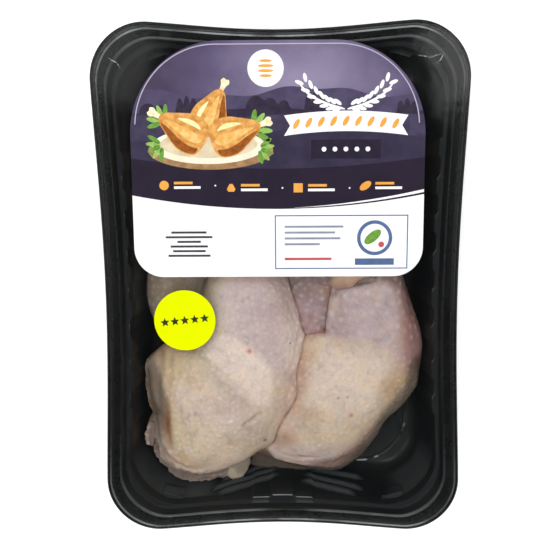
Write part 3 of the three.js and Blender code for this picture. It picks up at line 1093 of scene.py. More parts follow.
@dataclass(frozen=True)
class Fold:
    """A fold of the skin along a path, in mm seen from above. A step is high on the path's left. Its tone is
    partly the skin's own streaks and partly painted light and shade: painted shade in grooves and below
    steps, painted highlights on pale ridges.
    """

    kind: FoldKind
    path: tuple[Pair, ...]
    width: float
    depth: float
    tone: Tone | None = None
    strength: float = 0.5

    def across(self, plan: np.ndarray) -> tuple[np.ndarray, np.ndarray]:
        """Returns the height that the fold adds, in mm, and the share of its tone."""
        away, signed, along = path_distance(plan, np.array(self.path))
        fade = tapered(along)
        bell = np.exp(-((away / self.width) ** 2)) * fade
        if self.kind is FoldKind.STEP:
            near = np.exp(-((away / (4.5 * self.width)) ** 2))
            height = 0.5 * self.depth * np.tanh(signed / self.width) * near * fade
            stain_and_shade = np.exp(-(((signed + 0.8 * self.width) / self.width) ** 2)) * fade
            return height, self.strength * stain_and_shade
        sign = -1.0 if self.kind is FoldKind.GROOVE else 1.0
        return sign * self.depth * bell, self.strength * bell


@dataclass(frozen=True)
class Pull:
    """A place where the flesh is pulled out or pushed in: where, how far around and which way, in mm."""

    centre: Triple
    radii: Triple
    way: Triple

    def move(self, points: np.ndarray) -> np.ndarray:
        """Returns how far each point moves."""
        away = (points - np.array(self.centre)) / np.array(self.radii)
        return np.exp(-(away**2).sum(1))[:, None] * np.array(self.way)


@dataclass(frozen=True)
class Pimples:
    """Goose pimples: feather follicles that stand proud, about evenly spaced, within soft-edged corners.

    Their spacing, height and radius are in mm, each one's height is varied by the vigour, and pale is how
    much whiter their tops are painted: a painted highlight.
    """

    corners: tuple[Pair, ...]
    soft: float = 3.0
    spacing: float = 3.3
    height: float = 0.26
    radius: float = 0.95
    pale: float = 0.35
    vigour: Pair = (0.35, 1.15)


@dataclass(frozen=True)
class Flap:
    """A loose edge of skin, such as a fringe or a tail, between an inner path in the flesh and its free edge.

    Both paths are points in mm, matched one to one. The free edge is ragged by the given depth. With a
    crown of 1 it is as round as a finger, thickest in its middle.
    """

    inner: tuple[Triple, ...]
    outer: tuple[Triple, ...]
    thickness: float = 1.2
    root_tone: Tone = Tone.UMBER
    edge_tone: Tone = Tone.GREY_CREAM
    edge_share: float = 0.3
    ragged: float = 0.5
    blunt: float = 5.0
    crown: float = 0.0
    seed: int = 5

    def build(self) -> Piece:
        """Returns the flap as a closed skin with a rounded free edge, painted from root to edge."""
        columns, rows, rounds = 90, 16, 6
        rng = np.random.default_rng(self.seed)
        knots = np.linspace(0, 1, len(self.inner))
        share = np.linspace(0, 1, columns + 1)
        inner, outer = (
            np.column_stack([np.interp(share, knots, np.array(path)[:, k]) for k in range(3)])
            for path in (self.inner, self.outer)
        )
        for _ in range(rounds):
            inner[1:-1] = (inner[:-2] + 2 * inner[1:-1] + inner[2:]) / 4
            outer[1:-1] = (outer[:-2] + 2 * outer[1:-1] + outer[2:]) / 4
        waves = sum(
            np.sin(share * 2 * np.pi * count + rng.uniform(0, 6.28)) / count**0.5
            for count in (3.0, 5.3, 9.1, 14.7)
        )
        way = outer - inner
        length = np.linalg.norm(way, axis=1)
        outer = outer + way / length[:, None] * (self.ragged * waves)[:, None]
        lift = 0.35 * self.ragged * np.roll(waves, 7)
        taper = tapered(share, self.blunt)
        girth = self.thickness * (1 - self.crown * (1 - np.sqrt(np.clip(1 - (2 * share - 1) ** 2, 0.02, 1))))

        def place(column: np.ndarray, row: np.ndarray) -> np.ndarray:
            i = column.astype(int)
            turn = np.pi * row / rows
            reach = np.sin(turn) ** 0.7 * taper[i]
            plan = inner[i] + reach[:, None] * (outer - inner)[i]
            half = girth[i] / 2 * np.sign(np.cos(turn)) * np.abs(np.cos(turn)) ** 0.6
            plan[:, 2] += half * (1.0 - 0.35 * reach) + lift[i] * reach
            return plan

        flap = wrapped_grid("skin_flap", columns, rows, place)
        edit(flap, lambda: bpy.ops.mesh.fill_holes(sides=0), bpy.ops.mesh.normals_make_consistent)
        points = read_points(flap)
        tree = search_tree(inner)
        nearest = np.array([tree.find(point)[1] for point in points])
        out = np.linalg.norm(points - inner[nearest], axis=1) / np.maximum(length[nearest], 1e-6)
        # The root is painted darker than the rim: partly the darker skin there, partly painted shade where
        # the flap tucks under the flesh
        edge = ease(1 - self.edge_share - 0.25, 1 - 0.3 * self.edge_share, out)[:, None]
        edge = edge * (0.6 + 0.4 * np.tanh(np.roll(waves, 11)[nearest]))[:, None]
        root, rim = self.root_tone.linear(), self.edge_tone.linear()
        paint_attribute(flap, SKIN_TONE, root + edge * (rim - root))
        smooth(flap, 180)
        return flap


@dataclass
class Leg:
    """A raw leg quarter: a CAD solid remeshed finely, then given its folds, pimples and painted skin.

    Its skin stands out from the solid by the swell and waves gently, both in mm. Its steep sides are painted
    darker in the flank shade tone, as painted shade, and dim scales the whole skin's brightness.
    """

    name: str
    node: str
    base: Tone
    voxel: float = 0.8
    swell: float = 0.55
    flank_shade: Tone = Tone.DUSK
    flank_shade_share: float = 0.55
    # The tint painted in the crease against a neighbour: painted shade
    crease: Tone = Tone.OCHRE
    patches: tuple[Patch, ...] = ()
    folds: tuple[Fold, ...] = ()
    pimples: tuple[Pimples, ...] = ()
    pulls: tuple[Pull, ...] = ()
    flaps: tuple[Flap, ...] = ()
    seed: int = 1
    wave: float = 0.25
    dim: float = 1.0

    def flesh(self, node: Piece) -> Piece:
        """Returns a fine, smooth copy of the CAD solid."""
        piece = node.copy()
        piece.data = node.data.copy()
        piece.parent = None
        for key in list(piece.keys()):
            del piece[key]
        bpy.context.scene.collection.objects.link(piece)
        piece.name = piece.data.name = self.name
        edit(piece, lambda: bpy.ops.mesh.remove_doubles(threshold=1e-6))
        modify(piece, "SUBSURF", levels=2, render_levels=2)
        modify(piece, "REMESH", mode="VOXEL", voxel_size=self.voxel * MM)
        modify(piece, "SMOOTH", factor=0.5, iterations=8)
        return piece

    def waves(self, points: np.ndarray) -> np.ndarray:
        """Returns a gentle unevenness in mm: loose skin over muscle, made of a few crossed waves."""
        rng = np.random.default_rng(self.seed)
        total = np.zeros(len(points))
        for length, share in ((34, 1.0), (21, 0.8), (13, 0.5), (8, 0.28), (5, 0.14)):
            for _ in range(3):
                way = rng.normal(size=3)
                way /= np.linalg.norm(way)
                total += share * np.sin(points @ way * 2 * np.pi / length + rng.uniform(0, 2 * np.pi)) / 3
        return self.wave * total

    def follicles(self, points: np.ndarray, share: np.ndarray, spacing: float) -> np.ndarray:
        """Picks points on the skin that are about evenly spaced.

        Args:
            points: The skin's vertices in mm.
            share: Where pimples may be: where it is more than 0.3.
            spacing: The least distance between two, in mm.

        Returns:
            The picked points, one row each.
        """
        rng = np.random.default_rng(self.seed + 7)
        pool = rng.permutation(np.flatnonzero(share > 0.3))[:FOLLICLE_POOL]
        cells: dict[tuple[int, int, int], list[np.ndarray]] = {}
        picked = []
        for point in points[pool]:
            i, j, k = (int(v) for v in point // spacing)
            near = (
                other
                for a in (i - 1, i, i + 1)
                for b in (j - 1, j, j + 1)
                for c in (k - 1, k, k + 1)
                for other in cells.get((a, b, c), ())
            )
            if all(((point - other) ** 2).sum() >= spacing**2 for other in near):
                cells.setdefault((i, j, k), []).append(point)
                picked.append(point)
        return np.array(picked)

    def build(self, node: Piece) -> Piece:
        """Returns the finished leg, with its skin tone painted on its vertices."""
        piece = self.flesh(node)
        points = read_points(piece)
        for pull in self.pulls:
            points = points + pull.move(points)
        write_points(piece, points)
        normals = read_normals(piece)
        plan = points[:, :2]
        facing = ease(-0.15, 0.3, normals[:, 2])
        shift = self.swell + self.waves(points)
        colour = np.tile(self.base.linear(), (len(points), 1))

        def paint(tone: Tone, share: np.ndarray) -> None:
            nonlocal colour
            colour = colour + share[:, None] * (tone.linear() - colour)

        # Painted shade: the steep sides are darkened towards the flank shade tone
        steep = 1 - ease(0.1, 0.75, normals[:, 2])
        paint(self.flank_shade, self.flank_shade_share * steep)
        for patch in self.patches:
            paint(patch.tone, patch.mask(plan))
        for fold in self.folds:
            height, stain_and_shade = fold.across(plan)
            shift = shift + height * facing
            # A fold's tone: partly the skin's own streaks, partly painted shade and painted highlight along
            # the fold
            if fold.tone:
                paint(fold.tone, stain_and_shade * facing)
        for area in self.pimples:
            share = Patch(Tone.WHITE, area.corners, area.soft).mask(plan) * facing
            spots = self.follicles(points, share, area.spacing)
            tree = search_tree(spots)
            near = np.flatnonzero(share > 0.02)
            found = [tree.find(points[i])[1:] for i in near]
            away = np.array([distance for _, distance in found])
            vigour = np.random.default_rng(self.seed + 9).uniform(*area.vigour, len(spots))
            vigour = vigour[[i for i, _ in found]]
            bell = np.exp(-((away / area.radius) ** 2)) * share[near] * vigour
            shift[near] += area.height * bell
            # Painted highlight: the pimple tops are whitened
            light = np.zeros(len(points))
            light[near] = area.pale * bell
            paint(Tone.WHITE, light)
        write_points(piece, points + normals * shift[:, None])
        paint_attribute(piece, SKIN_TONE, colour * self.dim)
        smooth(piece, 180)
        return piece


def add_flaps(piece: Piece, flaps: tuple[Flap, ...]) -> Piece:
    """Joins a leg's loose skin to it."""
    return join([piece, *(flap.build() for flap in flaps)], piece.name) if flaps else piece


# Legs that lie against each other, and how near their skins have to be, in mm, to close the gap
TOUCHING = (
    ("leg_front_left", "leg_front_right", 7.0),
    ("leg_front_left", "leg_back_right", 7.0),
    ("leg_front_right", "leg_back_right", 7.0),
    ("leg_front_left", "leg_back_left", 3.5),
)


def surface_tree(piece: Piece) -> bvhtree.BVHTree:
    """Returns a piece's surface as a search tree, in metres."""
    faces = [tuple(face.vertices) for face in piece.data.polygons]
    return bvhtree.BVHTree.FromPolygons([vertex.co.copy() for vertex in piece.data.vertices], faces)


def close_gap(piece: Piece, neighbour: bvhtree.BVHTree, reach: float, tone: Tone) -> None:
    """Lets a leg's flesh swell against its neighbour, as soft pieces do, and paints a tint in the crease as
    painted shade.

    Args:
        piece: The leg to swell.
        neighbour: The other leg's surface, in metres.
        reach: Skin nearer than this, in mm, swells.
        tone: The tint painted in the crease between the two, in place of its soft shadow; on some legs it is
            lighter than the skin, to soften the crevice.
    """
    points, normals = read_points(piece), read_normals(piece)
    shift = np.zeros(len(points))
    near = np.zeros(len(points))
    for i, (point, normal) in enumerate(zip(points, normals)):
        place, _, _, gap = neighbour.find_nearest(Vector(point * MM), reach * MM)
        if place is None:
            continue
        gap /= MM
        towards = max(0.0, float(np.dot(np.array(place) / MM - point, normal)) / max(gap, 1e-6))
        fade = 1.0 - max(0.0, gap / reach - 0.45) / 0.55
        shift[i] = (gap / 2 + SKIN_OVERLAP) * towards * fade
        near[i] = 1.0 - gap / reach
    write_points(piece, points + normals * shift[:, None])
    layer = piece.data.color_attributes[SKIN_TONE]
    rgba = np.empty(len(points) * 4, dtype=np.float32)
    layer.data.foreach_get("color", rgba)
    rgba = rgba.reshape(-1, 4)
    # Painted shade: the skin is tinted where the two skins come near
    share = (0.85 * ease(0.45, 0.95, near))[:, None]
    rgba[:, :3] += share * (tone.linear() - rgba[:, :3])
    layer.data.foreach_set("color", rgba.astype(np.float32).ravel())


def front_left_leg() -> Leg:
    """Returns the large leg on the left, with the pale bulge of its thigh and the folds at its edge."""
    groove, ridge, step = FoldKind.GROOVE, FoldKind.RIDGE, FoldKind.STEP
    return Leg(
        name="chicken_leg_front_left",
        node="leg_front_left",
        base=Tone.GREY_CREAM,
        crease=Tone.CREAM,
        voxel=0.68,
        seed=3,
        patches=(
            spot(Tone.CREAM, -50, -72, 24, 30, 0.5, 20),
            Patch(Tone.PEACH, ((-41, -38), (-37, -27), (-28, -25), (-18, -30), (-6, -40), (-4, -52),
                (-9, -66), (-19, -62), (-28, -53), (-36, -44)), soft=2.2, strength=0.85),
            Patch(Tone.LILAC, ((-34, -4), (-24, 6), (-8, 12), (4, 6), (9, -14), (11, -40), (4, -55),
                (-3, -46), (-9, -39), (-23, -28), (-31, -24), (-36, -15)), soft=3.5, strength=0.9),
            spot(Tone.LILAC, -33, -67, 13, 10, 0.4, 20),
            spot(Tone.ROSE, -30, -70, 26, 22, 0.14, 20),
            spot(Tone.ROSE, 6, -48, 6, 20, 0.25, -8),
            spot(Tone.CREAM, -58, -60, 6, 14, 0.4, 4),
            spot(Tone.OCHRE, -57, -84, 6, 14, 0.22, -8),
            spot(Tone.BUTTER, -57, -43, 13, 11, 0.6),
            spot(Tone.BUTTER, -46, -88, 16, 13, 0.4, 10),
            spot(Tone.BUTTER, -58, -80, 4, 13, 0.5),
            # Painted shadow of the sticker on the thigh just below it
            spot(Tone.BROWN, -54, -35.6, 11, 3, 0.55, -6),
            spot(Tone.BROWN, -66, -39, 4, 5, 0.45, -30),
            spot(Tone.OCHRE, -62, -68, 4.5, 24, 0.5, -4),
            spot(Tone.BROWN, -62.8, -76, 3, 15, 0.45, -2),
            spot(Tone.RUST, -62.8, -77.6, 1.7, 7.5, 0.7, -3),
            spot(Tone.ASH, -50.4, -71.5, 0.9, 2.6, 0.4),
            spot(Tone.ASH, -54.2, -67, 0.9, 2.4, 0.35, 8),
            spot(Tone.ASH, -46.6, -69.5, 0.8, 2.2, 0.35, -10),
            spot(Tone.ASH, -43.2, -62.6, 0.8, 2.0, 0.3),
            spot(Tone.ASH, -52.6, -76.6, 1.0, 2.4, 0.3, 14),
            spot(Tone.ASH, -47.4, -81.4, 1.0, 2.0, 0.3),
            spot(Tone.MAUVE, -67, -100, 5, 7, 0.35, 25),
            spot(Tone.OCHRE, -50, -101, 7, 3.4, 0.35, -14),
            spot(Tone.ASH, -43, -100, 3, 5, 0.35, 10),
            spot(Tone.CREAM, -30, -98, 8, 4, 0.4, 14),
            spot(Tone.ASH, -22, -80, 13, 8, 0.28, 30),
            spot(Tone.OCHRE, -20, -94, 13, 8, 0.14, 30),
            spot(Tone.ROSE, -44, -103, 22, 5, 0.15, 2),
            spot(Tone.OCHRE, -60, -44, 7, 9, 0.28),
            spot(Tone.ASH, -35, -2, 4, 14, 0.25),
            # Painted shadow under the label's lower edge
            spot(Tone.ROSE, -14, 4.5, 24, 4, 0.35),
            spot(Tone.MAUVE, -8, -14, 10, 6, 0.35),
            # Painted light: brightens the skin beside the sticker, against the shadow of the label and
            # sticker
            spot(Tone.PEACH, -32, -10, 5, 12, 0.45),
            spot(Tone.ROSE, 2, -14, 9, 22, 0.3),
            spot(Tone.PEACH, 4, -32, 7, 16, 0.8, 4),
            spot(Tone.MAUVE, -3, -28, 6, 5, 0.3),
            spot(Tone.OCHRE, -47.8, -52.3, 6, 5, 0.35),
            spot(Tone.OCHRE, -55.8, -97.3, 5, 4, 0.5),
            spot(Tone.OCHRE, -36.8, -97.5, 5, 4, 0.25),
            spot(Tone.ROSE, -43.8, -55.2, 1.6, 1.6, 0.5),
            spot(Tone.BLOOD, -17.0, -34.2, 1.35, 1.35, 0.85),
            spot(Tone.PORE, 4.2, -31.6, 0.6, 0.6, 0.9),
            spot(Tone.PORE, -9.9, -87.6, 1.0, 1.0, 0.95),
            spot(Tone.ROSE, 2, -64, 5, 16, 0.4, -15),
            # Painted shade: the left flank darkened in umber and the low skirt along the lower edge in plum
            Patch(Tone.UMBER, ((-82, -36), (-72, -38), (-68.5, -47), (-66, -60), (-65, -74), (-66, -88),
                (-67, -97), (-72, -104), (-84, -104)), soft=3, strength=0.66),
            Patch(Tone.PLUM, ((-66, -93), (-62, -100.5), (-55, -106), (-46, -109), (-38, -109.6), (-28, -107),
                (-18, -102), (-18, -122), (-60, -124), (-80, -100)), soft=2.2, strength=0.62),
            spot(Tone.CREAM, -77.2, -88, 2.0, 7.5, 0.6, -6),
            spot(Tone.PORE, -73.6, -91.5, 1.1, 2.2, 0.9, -15),
            spot(Tone.CREAM, -64, -112, 8, 1.3, 0.5, -38),
        ),
        # Most fold tones here are painted light and shade: darker tones in grooves and below the steps are
        # painted shade, white and butter ones on ridges painted highlights
        folds=(
            Fold(step, ((-17, -60), (-27.7, -51.6), (-37, -43), (-47, -38)), 1.4, 0.9, Tone.ASH, 0.3),
            Fold(groove, ((-14, -66), (-25, -59), (-34, -51), (-41, -43), (-46, -36)), 3.2, 0.4, Tone.ASH,
                0.3),
            # A small crease: painted shade in its groove and a painted highlight on its ridge
            Fold(groove, ((-21.5, -77.2), (-16.3, -73.7), (-10.5, -69.5)), 1.3, 1.3, Tone.MAUVE, 0.6),
            Fold(ridge, ((-30.5, -74.5), (-28, -73.4), (-25.5, -73)), 0.9, 0.45, Tone.WHITE, 0.5),
            Fold(groove, ((-65.6, -62), (-64.2, -71), (-63.6, -78.7), (-62.6, -87.8), (-64.2, -94)), 2.4, 0.7,
                Tone.BROWN, 0.5),
            Fold(ridge, ((-67.5, -44), (-65, -54), (-61.5, -62), (-59, -74), (-60, -88), (-57, -99)), 2.2,
                0.35),
            Fold(groove, ((-70, -46), (-68.5, -56), (-65.5, -64), (-64, -72)), 2.6, 0.5, Tone.DUSK, 0.3),
            Fold(step, ((-74, -94), (-69, -101), (-61, -106.6), (-54, -107.4), (-47, -109.8), (-39, -108.4),
                (-30, -107), (-22, -102.5), (-15, -97)), 1.8, 1.8, Tone.DUSK, 0.6),
            Fold(groove, ((-68, -92), (-63, -99), (-54, -104), (-44, -105)), 1.5, 0.6, Tone.BROWN, 0.3),
            Fold(groove, ((-72, -82), (-74, -88), (-73, -94)), 0.9, 1.2, Tone.BROWN, 0.5),
            Fold(groove, ((-66.4, -38), (-66.0, -47), (-67.0, -56)), 1.9, 0.4, Tone.BROWN, 0.3),
            Fold(groove, ((-60.6, -35), (-60.0, -44), (-60.8, -55)), 1.9, 0.25, Tone.OCHRE, 0.28),
            Fold(groove, ((-55.4, -34), (-55.6, -43), (-55.0, -52)), 1.7, 0.2, Tone.OCHRE, 0.22),
            Fold(groove, ((-49.6, -32), (-49.6, -39), (-50.4, -46)), 1.6, 0.22, Tone.OCHRE, 0.24),
            Fold(ridge, ((-63.4, -36), (-63.0, -46), (-63.8, -58)), 1.6, 0.25, Tone.BUTTER, 0.45),
            Fold(ridge, ((-57.8, -35), (-57.8, -45), (-58.0, -55)), 1.6, 0.15, Tone.BUTTER, 0.35),
            Fold(groove, ((-73.6, -47), (-74.2, -60), (-72.6, -71), (-70.2, -82)), 1.4, 0.7, Tone.UMBER, 0.5),
            Fold(ridge, ((-70.6, -47), (-71, -58), (-69.2, -70), (-67.6, -84), (-67.5, -95)), 1.3, 0.35,
                Tone.DUSK, 0.3),
            Fold(groove, ((-68.2, -50), (-67.8, -62), (-66.2, -74), (-65.8, -88)), 1.5, 0.4, Tone.UMBER,
                0.35),
            Fold(ridge, ((-68.6, -92), (-67.6, -99), (-63, -104.6), (-56, -108.8), (-48, -111)), 1.0, 0.6,
                Tone.GREY_CREAM, 0.35),
            Fold(groove, ((-71, -92), (-70.4, -100), (-65, -106.4), (-57, -110.6), (-48, -112.6)), 1.0, 0.9,
                Tone.UMBER, 0.8),
            Fold(groove, ((-52, -78), (-50.5, -84), (-51, -90)), 1.8, 0.5, Tone.ASH, 0.3),
            Fold(groove, ((-57, -66), (-54.5, -71), (-54.5, -77)), 1.8, 0.4, Tone.ASH, 0.2),
            Fold(groove, ((-33, -79), (-29, -84), (-27, -91)), 2.0, 0.4, Tone.ASH, 0.22),
        ),
        pulls=(
            Pull((-75, -46, 28), (6, 6, 12), (-2.6, 2.0, 0)),
            Pull((-74, -62, 40), (9, 26, 16), (0, 0, -6.0)),
            Pull((9.9, -8.4, 36), (8, 17, 18), (-3.8, 0, 0)),
            Pull((13, -33, 36), (7, 9, 16), (-1.3, 0, 0)),
            Pull((6.5, -63.4, 36), (9, 9, 18), (3.4, 0, 0)),
            Pull((-1.3, -82.3, 36), (9, 9, 18), (-3.0, 0, 0)),
            Pull((-74, -73, 28), (6, 5, 14), (3.0, 0, 0)),
            Pull((-75, -85, 24), (4, 5, 8), (-1.6, 0, 0)),
            Pull((-73, -97, 24), (5, 5, 9), (0.6, 0.4, 0)),
            Pull((-25, -107, 26), (9, 5, 7), (0, 0, -5)),
            Pull((-50, -112, 22), (14, 5, 8), (0, -2.8, 0)),
        ),
        flaps=(
            Flap(
                inner=((-65, -90, 27), (-64.5, -97, 27), (-62, -102, 27), (-57, -105.5, 27), (-51, -108, 27),
                    (-45, -109, 27), (-38, -108.5, 27), (-30, -106, 27)),
                outer=((-72.5, -93, 24), (-73.2, -99, 24), (-69.8, -105.4, 24), (-64, -111.4, 24.5),
                    (-55, -116.4, 25), (-48, -116.8, 25), (-40, -115.0, 24.5), (-31, -112.4, 24.5)),
                root_tone=Tone.PLUM, edge_tone=Tone.ASH, ragged=0.9,
            ),
            Flap(
                inner=((-30.5, -103, 26), (-29.2, -102.4, 26), (-27, -101.8, 26), (-24.6, -101, 26),
                    (-22.4, -100.2, 26), (-20.4, -99.4, 26), (-18.4, -98.4, 26)),
                outer=((-32.2, -109.4, 24), (-31.8, -113.4, 23), (-29.6, -116.4, 22), (-26.2, -116.9, 22),
                    (-23, -114.8, 22.5), (-20.4, -110.4, 23.5), (-18, -104.6, 24.5)),
                thickness=7.0, root_tone=Tone.ASH, edge_tone=Tone.GREY_CREAM, edge_share=0.3, ragged=0.12,
                    blunt=9.0, crown=1.0,
            ),
            Flap(
                inner=((-72, -80, 27), (-72, -85, 27), (-72.5, -90, 27), (-73, -94, 27)),
                outer=((-74.6, -79, 25), (-77.2, -85, 25), (-78.2, -91, 25), (-75.6, -96.5, 25)),
                thickness=1.3, root_tone=Tone.PLUM, edge_tone=Tone.GREY_CREAM, edge_share=0.4, ragged=0.6,
                    blunt=2.0,
            ),
            Flap(
                inner=((-69, -42, 27), (-71, -50, 27), (-71, -60, 27), (-70, -70, 27), (-68, -78, 27)),
                outer=((-74.6, -42.5, 25), (-76.6, -48, 25), (-76.4, -60, 25), (-75.4, -69, 25),
                    (-71.6, -77.6, 25)),
                thickness=1.4, root_tone=Tone.UMBER, edge_tone=Tone.ASH, edge_share=0.25, ragged=0.35,
            ),
        ),
        pimples=(
            Pimples(((-6, 2), (6, 4), (12, -20), (12, -48), (4, -66), (-2, -58), (1, -30), (-4, -8)), soft=3,
                spacing=3.6, height=0.36, pale=0.34),
            Pimples(((-34, 0), (-6, 6), (1, -30), (0, -60), (-12, -96), (-60, -100), (-66, -50), (-45, -30)),
                soft=5, spacing=3.0, height=0.2, radius=0.95, pale=0.24),
            Pimples(((-72, -84), (-66, -84), (-61, -96), (-50, -104), (-30, -104), (-18, -96), (-16, -104),
                (-34, -116), (-60, -114), (-76, -98)), soft=2, spacing=4.2, height=0.7, radius=1.9,
                pale=0.06),
        ),
    )


